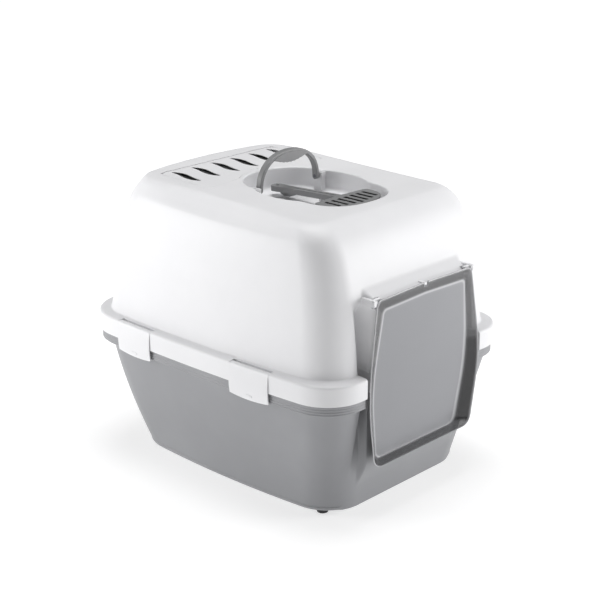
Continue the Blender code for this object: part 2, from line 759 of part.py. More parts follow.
def build_scoop():
    """The scoop lies in the well: a slotted blade, a bar with a groove, and a web under its tail."""
    neck_y = SCOOP_NECK - 4 * MM
    front = superellipse(SCOOP_HALF, neck_y - SCOOP_TIP, neck_y, 2.6, -math.pi / 2, 0, 12)
    blade_outline = mirrored([*front, (SCOOP_HALF - 5 * MM, SCOOP_NECK), (0, SCOOP_NECK + 3 * MM)])
    flat = Matrix.Translation((0, 0, SCOOP_TOP - 1.5 * MM))
    scoop = plate("scoop", blade_outline, 3 * MM, flat, GREY_PLASTIC)
    half = 8 * MM
    tail = 10.5 * MM
    bar_outline = rounded_polygon(
        [
            (-half, SCOOP_NECK - 4 * MM, 1 * MM),
            (half, SCOOP_NECK - 4 * MM, 1 * MM),
            (half, SCOOP_TAIL - 30 * MM, 12 * MM),
            (tail, SCOOP_TAIL - 18 * MM, 12 * MM),
            (tail, SCOOP_TAIL, 10 * MM),
            (-tail, SCOOP_TAIL, 10 * MM),
            (-tail, SCOOP_TAIL - 18 * MM, 12 * MM),
            (-half, SCOOP_TAIL - 30 * MM, 12 * MM),
        ],
        2 * MM,
        4,
    )
    neck = Matrix.Translation((0, SCOOP_NECK, SCOOP_TOP)) @ Matrix.Rotation(-math.atan(SCOOP_DIP), 4, "X")
    sunk = neck @ Matrix.Translation((0, -SCOOP_NECK, -4.5 * MM))
    join(scoop, plate("scoop_bar", bar_outline, 8.6 * MM, sunk))
    web = [(-30 * MM, -10 * MM), (24 * MM, -12 * MM), (20 * MM, -19 * MM), (12 * MM, -22 * MM), (0, -21 * MM)]
    on_edge = Matrix.Translation((0, 0, SCOOP_TOP)) @ Matrix.Rotation(math.pi / 2, 4, "Z")
    join(scoop, plate("scoop_web", web, 5 * MM, on_edge @ Matrix.Rotation(math.pi / 2, 4, "X")))
    groove = slot_outline(0, 1.5 * MM, -98 * MM, -8 * MM, 1 * MM)
    cut(scoop, plate("scoop_groove", groove, 4 * MM, neck @ Matrix.Translation((0, -SCOOP_NECK, 0))))
    for index in range(7):
        x = (index - 3) * 14.5 * MM
        reach = -152 * MM + abs(index - 3) * 3 * MM
        slot = slot_outline(x, 2.6 * MM, reach, -117 * MM, 2 * MM)
        cut(scoop, plate(f"scoop_slot_{index}", slot, 12 * MM, Matrix.Translation((0, 0, SCOOP_TOP))))


# ---------------------------------------------------------------- vent cover and filter


def lens(length, width, steps=8):
    """A pointed oval along Y, between two equal arcs."""
    shares = [step / steps for step in range(steps)]
    quarter = [(width / 2 * (1 - share * share), length / 2 * share) for share in shares]
    half = [(x, -y) for x, y in reversed(quarter[1:])] + quarter
    return [(0, -length / 2), *half, (0, length / 2), *[(-x, y) for x, y in reversed(half)]]


def build_vent():
    flush = ROOF @ Matrix.Translation((0, 0, -VENT_THICKNESS / 2))
    cover = plate("vent_cover", vent_outline(), VENT_THICKNESS, flush, WHITE_PLASTIC)
    for index in range(6):
        x = (index - 2.5) * SLOT_PITCH
        moved = [(px + x, py + SLOT_Y) for px, py in lens(SLOT_LENGTH, SLOT_WIDTH)]
        cut(cover, plate(f"vent_slot_{index}", moved, 12 * MM, flush))
    for side in (-1, 1):
        inner = (side * (VENT_HALF - 22 * MM), VENT_REAR - 3 * MM, -VENT_THICKNESS / 2)
        outer = (side * (VENT_HALF - 4.5 * MM), VENT_REAR - 3 * MM, -VENT_THICKNESS / 2)
        join(cover, rod(f"vent_pin_{side}", 1.2 * MM, inner, outer, ROOF, sides=12))
    set_origin(cover, ROOF @ Vector((0, VENT_REAR - 3 * MM, -VENT_THICKNESS / 2)))
    half_x, half_y = FILTER_SIZE[0] / 2, FILTER_SIZE[1] / 2
    corners = [(-half_x, -half_y), (half_x, -half_y), (half_x, half_y), (-half_x, half_y)]
    pad = rounded_polygon(corners, 4 * MM)
    under = -VENT_THICKNESS - 0.6 * MM - FILTER_SIZE[2] / 2
    place = ROOF @ Matrix.Translation((0, FILTER_Y, under))
    plate("carbon_filter", pad, FILTER_SIZE[2] - 0.3 * MM, place, CARBON)


# ---------------------------------------------------------------- clips and feet


def clip_profile():
    """The clip's section, X out of the rim and Z up from the rod: a knuckle above a bowed plate."""
    foot = LIP_BOTTOM - 4 * MM - CLIP_ROD_Z
    outside = [(0, 4.1 * MM), (5 * MM, 4.1 * MM), (7.3 * MM, 3 * MM)]
    inside = []
    for step in range(9):
        share = step / 8
        bulge = 4 * share * (1 - share)
        z = blend(0.5 * MM, foot, share)
        outside.append((blend(8.3 * MM, 7.4 * MM, share) + 2.2 * MM * bulge, z))
        if z < -2 * MM:
            inside.append((blend(4.6 * MM, 5.5 * MM, share) + 2.6 * MM * bulge, z))
    inside[-1] = (5.5 * MM, foot + 0.8 * MM)
    knuckle = []
    for step in range(9):
        angle = math.radians(-20 - 250 * step / 8)
        knuckle.append((CLIP_KNUCKLE_RADIUS * math.cos(angle), CLIP_KNUCKLE_RADIUS * math.sin(angle)))
    return outside + inside[::-1] + knuckle


def build_clips():
    for name, (y, side) in CLIPS.items():
        frame = clip_frame(y, side)
        across = frame @ Matrix.Rotation(math.pi / 2, 4, "X")
        clip = plate(f"clip_{name}", clip_profile(), CLIP_LENGTH, across, WHITE_PLASTIC)
        reach = CLIP_LENGTH / 2
        ends = ((0, -reach - 5 * MM, 0), (0, reach + 5 * MM, 0))
        cut(clip, rod(f"clip_bore_{name}", CLIP_ROD_RADIUS + GAP, *ends, frame, sides=16))
        set_origin(clip, frame.translation)
        ends = ((0, -reach - 4 * MM, 0), (0, reach + 4 * MM, 0))
        rod(f"clip_rod_{name}", CLIP_ROD_RADIUS, *ends, frame, WHITE_PLASTIC, 12)


def build_feet():
    for name, x, y in (
        ("front_left", -1, -205 * MM),
        ("front_right", 1, -205 * MM),
        ("rear_left", -1, 160 * MM),
        ("rear_right", 1, 160 * MM),
    ):
        low = (x * 145 * MM, y, 0)
        high = (x * 145 * MM, y, FOOT_HEIGHT)
        rod(f"foot_{name}", FOOT_RADIUS, low, high, None, RUBBER, 24, FOOT_RADIUS + 1.5 * MM)


WHITE_PLASTIC = plastic("white_plastic", WHITE, 0.45)
GREY_PLASTIC = plastic("grey_plastic", GREY, 0.5)
SMOKED = plastic("smoked_plastic", (0.30, 0.31, 0.33), 0.12, 0.55)
GRIP = plastic("grip_rubber", (0.22, 0.22, 0.23), 0.6)
CARBON = plastic("carbon_felt", (0.03, 0.03, 0.03), 0.95)
RUBBER = plastic("foot_rubber", DARK, 0.8)
PIN_PLASTIC = plastic("pin_plastic", (0.25, 0.25, 0.26), 0.45)

build_shells()
build_flap()
build_handle()
build_scoop()
build_vent()
build_clips()
build_feet()
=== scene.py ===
"""Cat litter box with hood: the looks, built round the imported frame.

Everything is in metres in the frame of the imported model: +X to the right seen from the front, +Y to the rear,
+Z up, with the doorway facing -Y. Each sub-assembly is a class; main() builds them in order.
"""

import logging
import math
from dataclasses import dataclass, fields
from enum import Enum

import bpy
import numpy as np
from mathutils import Matrix, Vector
from numpy.typing import NDArray

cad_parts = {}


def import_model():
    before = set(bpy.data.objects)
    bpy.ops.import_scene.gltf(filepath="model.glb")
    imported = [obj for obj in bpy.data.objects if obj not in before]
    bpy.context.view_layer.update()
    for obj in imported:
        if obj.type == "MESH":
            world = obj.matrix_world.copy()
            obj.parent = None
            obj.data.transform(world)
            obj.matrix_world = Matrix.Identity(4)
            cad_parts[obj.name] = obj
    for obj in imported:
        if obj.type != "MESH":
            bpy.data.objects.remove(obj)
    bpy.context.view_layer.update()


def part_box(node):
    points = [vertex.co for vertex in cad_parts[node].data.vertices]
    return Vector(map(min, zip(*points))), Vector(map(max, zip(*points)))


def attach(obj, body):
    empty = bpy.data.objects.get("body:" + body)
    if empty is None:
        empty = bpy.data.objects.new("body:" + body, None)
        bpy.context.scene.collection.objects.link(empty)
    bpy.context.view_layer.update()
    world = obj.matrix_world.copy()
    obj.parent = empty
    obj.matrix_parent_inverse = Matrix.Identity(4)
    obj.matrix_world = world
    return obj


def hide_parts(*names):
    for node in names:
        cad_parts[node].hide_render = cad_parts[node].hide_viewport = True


log = logging.getLogger("litter_box")

Array = NDArray[np.float64]
Pair = tuple[float, float]
Point = tuple[float, float, float]

MM = 0.001
GAP = 0.3 * MM
WALL = 2.4 * MM
SHARP_ANGLE = 32.0

FLAP_Y, FLAP_Z = -281 * MM, 357 * MM
HANDLE_Y, HANDLE_Z, HANDLE_HALF = 5 * MM, 464 * MM, 66 * MM
LIP_BOTTOM = 194 * MM


class Slot(Enum):
    """The record's material slots."""

    HOOD = "hood_white"
    TRAY = "tray_grey"
    FLAP = "flap_smoked"
    TRIM = "handle_grey"
    GRIP = "grip_grey"
    FILTER = "filter_black"
    FOOT = "foot_rubber"


class Side(Enum):
    """The two mirrored sides of the box, by the sign of their X."""

    LEFT = -1
    RIGHT = 1


# ---------------------------------------------------------------- numbers to shapes


def ease(share: Array) -> Array:
    """Smooth step from 0 to 1: 3 s squared less 2 s cubed, with s held between 0 and 1.

    Args:
        share: Values along the step.

    Returns:
        The eased values.
    """
    held = np.clip(share, 0.0, 1.0)
    return held * held * (3.0 - 2.0 * held)


def smooth_through(places: Array, values: Array, at: Array) -> Array:
    """Cubic Hermite curves through knots, whose slopes are harmonic means, so that nothing overshoots.

    Args:
        places: Knot places, rising.
        values: One row of quantities for each knot.
        at: Where to read.

    Returns:
        One row of quantities for each place in at.
    """
    slopes = np.diff(values, axis=0) / np.diff(places)[:, None]
    product = slopes[:-1] * slopes[1:]
    total = slopes[:-1] + slopes[1:]
    inner = np.where(product > 0, 2 * product / np.where(product > 0, total, 1.0), 0.0)
    tangents = np.concatenate([slopes[:1], inner, slopes[-1:]])
    index = np.clip(np.searchsorted(places, at, side="right") - 1, 0, len(places) - 2)
    width = (places[index + 1] - places[index])[:, None]
    s = (at - places[index])[:, None] / width
    low, high = values[index], values[index + 1]
    rise = (3 - 2 * s) * s * s
    bend = s * (1 - s) * width * ((1 - s) * tangents[index] - s * tangents[index + 1])
    return low + (high - low) * rise + bend


def rounded(corners: list[tuple[float, ...]], radius: float, steps: int = 6) -> Array:
    """A closed outline whose corners are arcs tangent to both sides.

    Args:
        corners: X and Y of each corner, and its own radius if it has one.
        radius: The radius of the other corners.
        steps: Segments in each arc.

    Returns:
        The outline's points, one row each.
    """
    arcs = []
    count = len(corners)
    for index, corner in enumerate(corners):
        here = np.array(corner[:2])
        own = corner[2] if len(corner) > 2 else radius
        before = np.array(corners[index - 1][:2]) - here
        after = np.array(corners[(index + 1) % count][:2]) - here
        before /= np.linalg.norm(before)
        after /= np.linalg.norm(after)
        half = math.acos(float(before @ after)) / 2
        middle = (before + after) / np.linalg.norm(before + after)
        centre = here + middle * own / math.sin(half)
        start = here + before * own / math.tan(half) - centre
        end = here + after * own / math.tan(half) - centre
        first = math.atan2(start[1], start[0])
        turn = math.atan2(start[0] * end[1] - start[1] * end[0], float(start @ end))
        angles = first + turn * np.linspace(0, 1, steps + 1)
        arcs.append(centre + own * np.stack([np.cos(angles), np.sin(angles)], axis=1))
    return np.concatenate(arcs)


def oval(half_x: float, half_y: float, centre_y: float, power: float, angles: Array) -> Array:
    """Superellipse: each coordinate is the cosine or sine of the angle, to the power 2 / power.

    Args:
        half_x: Half width.
        half_y: Half length.
        centre_y: The middle's Y.
        power: 2 for an ellipse, more for a squarer oval.
        angles: Where the points are.

    Returns:
        The points, one row each.
    """
    cosine, sine = np.cos(angles), np.sin(angles)
    x = np.copysign(np.abs(cosine) ** (2 / power), cosine) * half_x
    y = np.copysign(np.abs(sine) ** (2 / power), sine) * half_y + centre_y
    return np.stack([x, y], axis=1)


def both_halves(half: Array) -> Array:
    """Closes an outline given for +X with its mirror image, dropping points on the middle line."""
    own = half[half[:, 0] > GAP]
    return np.concatenate([own, own[::-1] * (-1, 1)])


@dataclass
class Solid:
    """A closed shape in numbers: points, one row each, and faces as lists of point numbers."""

    points: Array
    faces: list[list[int]]

    def __add__(self, other: "Solid") -> "Solid":
        """Both shapes in one, left apart.

        Args:
            other: The shape that follows.

        Returns:
            The joint shape.
        """
        shift = len(self.points)
        moved = [[index + shift for index in face] for face in other.faces]
        return Solid(np.concatenate([self.points, other.points]), self.faces + moved)

    def placed(self, frame: Matrix) -> "Solid":
        """The shape carried into place by a matrix."""
        matrix = np.array(frame)
        return Solid(self.points @ matrix[:3, :3].T + matrix[:3, 3], self.faces)

    def facing_out(self) -> "Solid":
        """The shape with its faces turned over if its signed volume, a sum of tetrahedra, is negative.

        Returns:
            The shape, with its faces pointing out.
        """
        volume = 0.0
        for size in {len(face) for face in self.faces}:
            corners = self.points[np.array([face for face in self.faces if len(face) == size])]
            for step in range(1, size - 1):
                trio = np.stack([corners[:, 0], corners[:, step], corners[:, step + 1]], axis=1)
                volume += float(np.linalg.det(trio).sum())
        if volume >= 0:
            return self
        return Solid(self.points, [face[::-1] for face in self.faces])

    def piece(self, name: str) -> bpy.types.Object:
        """Puts the shape into the scene as a mesh object at the origin.

        Args:
            name: The object's name.

        Returns:
            The object.
        """
        mesh = bpy.data.meshes.new(name)
        mesh.from_pydata(self.points.tolist(), [], self.facing_out().faces)
        made = bpy.data.objects.new(name, mesh)
        bpy.context.scene.collection.objects.link(made)
        return made


def joined(solids: list[Solid]) -> Solid:
    """Several shapes in one, in their order and left apart."""
    return sum(solids[1:], solids[0])


def loft(rings: Array) -> Solid:
    """A closed solid through rings of equal count, with its first and last ring capped.

    Args:
        rings: Ring by point by coordinate.

    Returns:
        The solid.
    """
    count, size = rings.shape[:2]
    grid = np.arange(count * size).reshape(count, size)
    after = np.roll(grid, -1, axis=1)
    quads = np.stack([grid[:-1], after[:-1], after[1:], grid[1:]], axis=-1).reshape(-1, 4)
    caps = [grid[0, ::-1].tolist(), grid[-1].tolist()]
    return Solid(rings.reshape(-1, 3), quads.tolist() + caps)


def prism(outline: Array, low: float, high: float) -> Solid:
    """An outline in X and Y carried straight up from one height to another."""
    flat = np.pad(outline, ((0, 0), (0, 1)))
    return loft(np.stack([flat + (0, 0, low), flat + (0, 0, high)]))


def cuboid(low: Point, high: Point, radius: float = 0.0) -> Solid:
    """A box between two corners, whose upright edges may be rounded.

    Args:
        low: The lower corner.
        high: The upper corner.
        radius: The upright edges' radius, or 0.

    Returns:
        The solid.
    """
    corners = [(low[0], low[1]), (high[0], low[1]), (high[0], high[1]), (low[0], high[1])]
    outline = rounded(corners, radius, 3) if radius else np.array(corners)
    return prism(outline, low[2], high[2])


def turned(profile: Array, start: Point, end: Point, sides: int = 32) -> Solid:
    """A profile of radius against share of the length, turned round the line from start to end.

    Args:
        profile: Radius and share of the length, one row each.
        start: One end of the axis.
        end: Its other end.
        sides: Points in each ring.

    Returns:
        The solid.
    """
    along = Vector(end) - Vector(start)
    frame = Matrix.Translation(start) @ along.to_track_quat("Z", "Y").to_matrix().to_4x4()
    angle = np.linspace(0, 2 * math.pi, sides, endpoint=False)
    radius, share = profile[:, :1], profile[:, 1:]
    height = np.broadcast_to(share * along.length, (len(profile), sides))
    return loft(np.stack([radius * np.cos(angle), radius * np.sin(angle), height], axis=-1)).placed(frame)


def rod(radius: float, start: Point, end: Point, sides: int = 32) -> Solid:
    """A plain round bar."""
    return turned(np.array([(radius, 0.0), (radius, 1.0)]), start, end, sides)


def evaluated_mesh(made: bpy.types.Object) -> None:
    """Replaces an object's mesh by what its modifiers make of it.

    Args:
        made: The object.
    """
    graph = bpy.context.evaluated_depsgraph_get()
    mesh = bpy.data.meshes.new_from_object(made.evaluated_get(graph))
    made.modifiers.clear()
    made.data = mesh


def carve(target: bpy.types.Object, operation: str, operand: Solid) -> None:
    """Applies one Boolean of a solid to an object's mesh.

    Args:
        target: The object that is changed.
        operation: UNION or DIFFERENCE.
        operand: The solid, which may be several that don't touch.
    """
    helper = operand.piece("operand")
    step = target.modifiers.new("carve", "BOOLEAN")
    step.operation = operation
    step.solver = "EXACT"
    step.object = helper
    evaluated_mesh(target)
    bpy.data.objects.remove(helper)


def round_edges(made: bpy.types.Object, width: float, segments: int = 3, angle: float = 40.0) -> None:
    """Rounds a piece's sharp edges.

    Args:
        made: The piece.
        width: The bevel's width.
        segments: Faces across the bevel.
        angle: The least angle of an edge that is rounded, in degrees.
    """
    bevel = made.modifiers.new("rounded_edges", "BEVEL")
    bevel.width = width
    bevel.segments = segments
    bevel.limit_method = "ANGLE"
    bevel.angle_limit = math.radians(angle)
    bevel.use_clamp_overlap = True


def shade(made: bpy.types.Object, angle: float = SHARP_ANGLE) -> None:
    """Smooth shading, broken at sharp edges, with large flat faces kept flat.

    Args:
        made: The piece.
        angle: The angle in degrees past which an edge stays sharp.
    """
    evaluated_mesh(made)
    made.data.shade_smooth()
    made.data.set_sharp_from_angle(angle=math.radians(angle))
    weighted = made.modifiers.new("flat_faces_lead", "WEIGHTED_NORMAL")
    weighted.keep_sharp = True


# ---------------------------------------------------------------- materials


class Sock:
    """A shader value that can be used in arithmetic; each operator adds a Math node."""

    def __init__(self, tree: bpy.types.NodeTree, socket: bpy.types.NodeSocket) -> None:
        """Keeps the tree and the output socket."""
        self.tree = tree
        self.socket = socket

    def _math(self, operation: str, first: object, second: object) -> "Sock":
        """One Math node on two values, either of which may be a plain number.

        Args:
            operation: The node's operation.
            first: Its first value.
            second: Its second value.

        Returns:
            The node's output.
        """
        node = self.tree.nodes.new("ShaderNodeMath")
        node.operation = operation
        for target, given in zip(node.inputs, (first, second)):
            if isinstance(given, Sock):
                self.tree.links.new(target, given.socket)
            else:
                target.default_value = given
        return Sock(self.tree, node.outputs[0])

    def __add__(self, other: object) -> "Sock":
        """self + other."""
        return self._math("ADD", self, other)

    def __radd__(self, other: object) -> "Sock":
        """other + self."""
        return self._math("ADD", other, self)

    def __sub__(self, other: object) -> "Sock":
        """self - other."""
        return self._math("SUBTRACT", self, other)

    def __rsub__(self, other: object) -> "Sock":
        """other - self."""
        return self._math("SUBTRACT", other, self)

    def __mul__(self, other: object) -> "Sock":
        """self * other."""
        return self._math("MULTIPLY", self, other)

    def __rmul__(self, other: object) -> "Sock":
        """other * self."""
        return self._math("MULTIPLY", other, self)


class Recipe:
    """One material's node tree, with one method that adds any node."""

    def __init__(self, name: str) -> None:
        """Starts a material with a Principled shader.

        Args:
            name: The material's name.
        """
        self.material = bpy.data.materials.new(name)
        self.material.use_nodes = True
        self.tree = self.material.node_tree
        self.shader = self.tree.nodes["Principled BSDF"]

    def node(self, kind: str, settings: dict[str, object], inputs: dict[str, object]) -> bpy.types.Node:
        """Adds a node.

        Args:
            kind: The node's type, without its ShaderNode prefix.
            settings: Properties, set first; "stops" gives a colour ramp's places and greys.
            inputs: Values or Socks by socket name.

        Returns:
            The node.
        """
        made = self.tree.nodes.new("ShaderNode" + kind)
        for key, value in settings.items():
            if key == "stops":
                for element, (place, grey) in zip(made.color_ramp.elements, value):
                    element.position = place
                    element.color = (grey, grey, grey, 1)
            else:
                setattr(made, key, value)
        self.feed(made, inputs)
        return made

    def feed(self, made: bpy.types.Node, inputs: dict[str, object]) -> None:
        """Sets or links a node's sockets.

        Args:
            made: The node.
            inputs: Values or Socks by socket name; a key of digits is a socket's number.
        """
        for key, value in inputs.items():
            target = made.inputs[int(key)] if key.isdigit() else made.inputs[key]
            if isinstance(value, Sock):
                self.tree.links.new(target, value.socket)
            else:
                target.default_value = value

    def out(self, made: bpy.types.Node, name: str) -> Sock:
        """A node's output, ready for arithmetic."""
        return Sock(self.tree, made.outputs[name])

    def place(self) -> Sock:
        """Object coordinates, in metres."""
        return self.out(self.node("TexCoord", {}, {}), "Object")

    def noise(self, size: float, detail: float = 2.0) -> Sock:
        """Noise between 0 and 1 whose features are about that size in metres."""
        inputs = {"Vector": self.place(), "Scale": 1 / size, "Detail": detail, "Roughness": 0.55}
        return self.out(self.node("TexNoise", {}, inputs), "Fac")

    def ramp(self, value: Sock, low: float, high: float) -> Sock:
        """Stretches a value smoothly so that low becomes 0 and high becomes 1.

        Args:
            value: The value.
            low: Where it is 0.
            high: Where it is 1.

        Returns:
            The stretched value.
        """
        inputs = {"Value": value, "From Min": low, "From Max": high}
        made = self.node("MapRange", {"clamp": True, "interpolation_type": "SMOOTHSTEP"}, inputs)
        return self.out(made, "Result")

    def mix(self, share: Sock, first: Point, second: Point) -> Sock:
        """A colour between two, by a share from 0 to 1.

        Args:
            share: 0 for the first colour and 1 for the second.
            first: The first colour.
            second: The second colour.

        Returns:
            The colour.
        """
        inputs = {"0": share, "6": (*first, 1.0), "7": (*second, 1.0)}
        made = self.node("Mix", {"data_type": "RGBA"}, inputs)
        return Sock(self.tree, made.outputs[2])

    def blend_colours(self, share: Sock, first: Sock, second: Point) -> Sock:
        """A colour between a computed one and a fixed one."""
        made = self.node("Mix", {"data_type": "RGBA"}, {"0": share, "6": first, "7": (*second, 1.0)})
        return Sock(self.tree, made.outputs[2])

    def within(self, low: Point, high: Point) -> Sock:
        """1 inside a box given by two corners and 0 outside it.

        Args:
            low: The lower corner.
            high: The upper corner.

        Returns:
            The value.
        """
        made = self.node("SeparateXYZ", {}, {"Vector": self.place()})
        share = None
        for name, least, most in zip("XYZ", low, high):
            value = self.out(made, name)
            for start, end in ((least - 0.2 * MM, least), (most, most - 0.2 * MM)):
                side = self.ramp(value, start, end)
                share = share * side if share else side
        return share

    def bump(self, height: Sock, depth: float) -> Sock:
        """A normal from a height of that depth in metres."""
        made = self.node("Bump", {}, {"Height": height, "Distance": depth, "Strength": 1.0})
        return self.out(made, "Normal")


@dataclass(frozen=True)
class MouldedPlastic:
    """Opaque moulded plastic: a fine spark-eroded grain, a soft mottle and small rougher patches.

    The grain is noise of grain_size. The mottle shifts colour and roughness over a few centimetres.
    An optional box, by two corners, in which the base colour is painted near black: painted shade on the walls
    of narrow slots.
    """

    name: str
    colour: Point
    shade: Point
    roughness: float
    grain_size: float = 0.7 * MM
    grain_depth: float = 0.02 * MM
    specular: float = 0.5
    coat: float = 0.0
    # Box, by two corners, where slot walls get painted shade, or None.
    painted_slot_shade: tuple[Point, Point] | None = None

    def material(self) -> bpy.types.Material:
        """Builds the finish.

        Returns:
            The finished material.
        """
        recipe = Recipe(self.name)
        mottle = recipe.noise(55 * MM, 3.0)
        grain = recipe.noise(self.grain_size, 2.0)
        flow = recipe.ramp(recipe.noise(180 * MM, 1.0), 0.35, 0.65)
        scuff = recipe.ramp(recipe.noise(7 * MM, 6.0), 0.62, 0.78)
        tone = 0.55 * mottle + 0.25 * flow + 0.2 * grain
        base = recipe.mix(recipe.ramp(tone, 0.2, 0.8), self.shade, self.colour)
        # Painted shade: inside the box the base colour is blended to near black, as slot walls in shadow.
        if self.painted_slot_shade:
            base = recipe.blend_colours(recipe.within(*self.painted_slot_shade), base, (0.006, 0.006, 0.006))
        inputs = {
            "Base Color": base,
            "Roughness": self.roughness - 0.05 + 0.07 * mottle + 0.05 * grain + 0.06 * scuff,
            "Metallic": 0.0,
            "Specular IOR Level": self.specular,
            "Coat Weight": self.coat,
            "Normal": recipe.bump(grain, self.grain_depth),
        }
        recipe.feed(recipe.shader, inputs)
        return recipe.material


@dataclass(frozen=True)
class SmokedPlastic:
    """See-through smoked plastic: the pane is pale and hazy, partly painted reflection, and its flange clearer.

    Thick edges carry a painted highlight, and the flange's sides below the band carry painted shade. The
    piece's
    attributes say where: edge is 1 on a thick edge, flange is 1 outside the pane, and a third attribute is 1 on
    the sides of the flange below the band, where the painted shade makes them darkest.
    """

    name: str = "smoked_plastic"
    # Pale pane grey: partly the pane's own cloudiness, partly painted reflection of the front light.
    haze_and_reflection: Point = (0.37, 0.375, 0.395)
    tint: Point = (0.10, 0.10, 0.105)
    # Painted highlight colour for thick edges.
    bright: Point = (0.60, 0.60, 0.62)
    # Painted shade colour for the flange's sides below the band.
    dark: Point = (0.022, 0.022, 0.024)
    pane_cover: float = 0.64
    flange_cover: float = 0.62
    roughness: float = 0.16

    def material(self) -> bpy.types.Material:
        """Builds the finish.

        Returns:
            The finished material.
        """
        recipe = Recipe(self.name)
        edge = recipe.out(recipe.node("Attribute", {"attribute_name": "edge"}, {}), "Fac")
        flange = recipe.out(recipe.node("Attribute", {"attribute_name": "flange"}, {}), "Fac")
        cloud = recipe.noise(90 * MM, 2.0)
        wipe = recipe.ramp(recipe.noise(9 * MM, 5.0), 0.45, 0.75)
        # Painted shade: the flange's sides below the band are blended towards near black and made more opaque.
        painted_shade = recipe.out(recipe.node("Attribute", {"attribute_name": "painted_shade"}, {}), "Fac")
        body = recipe.blend_colours(painted_shade, recipe.mix(flange, self.haze_and_reflection, self.tint), self.dark)
        cover = self.pane_cover + (self.flange_cover - self.pane_cover) * flange + 0.3 * painted_shade
        # Painted highlight: thick edges are blended towards a pale grey and made more opaque (Base Color and
        # Alpha below).
        inputs = {
            "Base Color": recipe.blend_colours(edge * 0.85, body, self.bright),
            "Roughness": self.roughness + 0.05 * cloud + 0.05 * wipe,
            "Metallic": 0.0,
            "Alpha": cover + 0.04 * cloud + 0.2 * edge,
            "Coat Weight": 0.2 + 0.2 * cloud,
            "Normal": recipe.bump(recipe.noise(40 * MM, 1.0), 0.12 * MM),
        }
        recipe.feed(recipe.shader, inputs)
        return recipe.material


@dataclass(frozen=True)
class CarbonFelt:
    """Needled felt loaded with carbon: crossing fibres and small grains."""

    name: str = "carbon_felt"
    dark: Point = (0.012, 0.012, 0.013)
    light: Point = (0.055, 0.055, 0.058)

    def material(self) -> bpy.types.Material:
        """Builds the finish.

        Returns:
            The finished material.
        """
        recipe = Recipe(self.name)
        fibre = recipe.noise(1.1 * MM, 8.0)
        cells = recipe.node("TexVoronoi", {}, {"Vector": recipe.place(), "Scale": 1 / (1.6 * MM)})
        grains = recipe.out(cells, "Distance")
        inputs = {
            "Base Color": recipe.mix(recipe.ramp(fibre, 0.35, 0.7), self.dark, self.light),
            "Roughness": 0.86 + 0.12 * fibre,
            "Metallic": 0.0,
            "Normal": recipe.bump(0.7 * fibre + 0.3 * grains, 0.5 * MM),
        }
        recipe.feed(recipe.shader, inputs)
        return recipe.material


@dataclass(frozen=True)
class SoftRubber:
    """Matt rubber with a fine grain and a paler bloom."""

    name: str = "foot_rubber"
    dark: Point = (0.028, 0.028, 0.029)
    bloom: Point = (0.075, 0.075, 0.077)

    def material(self) -> bpy.types.Material:
        """Builds the finish.

        Returns:
            The finished material.
        """
        recipe = Recipe(self.name)
        grain = recipe.noise(0.9 * MM, 3.0)
        bloom = recipe.ramp(recipe.noise(9 * MM, 4.0), 0.4, 0.8)
        inputs = {
            "Base Color": recipe.mix(bloom, self.dark, self.bloom),
            "Roughness": 0.7 + 0.15 * grain,
            "Metallic": 0.0,
            "Normal": recipe.bump(grain, 0.08 * MM),
        }
        recipe.feed(recipe.shader, inputs)
        return recipe.material


# ---------------------------------------------------------------- shells


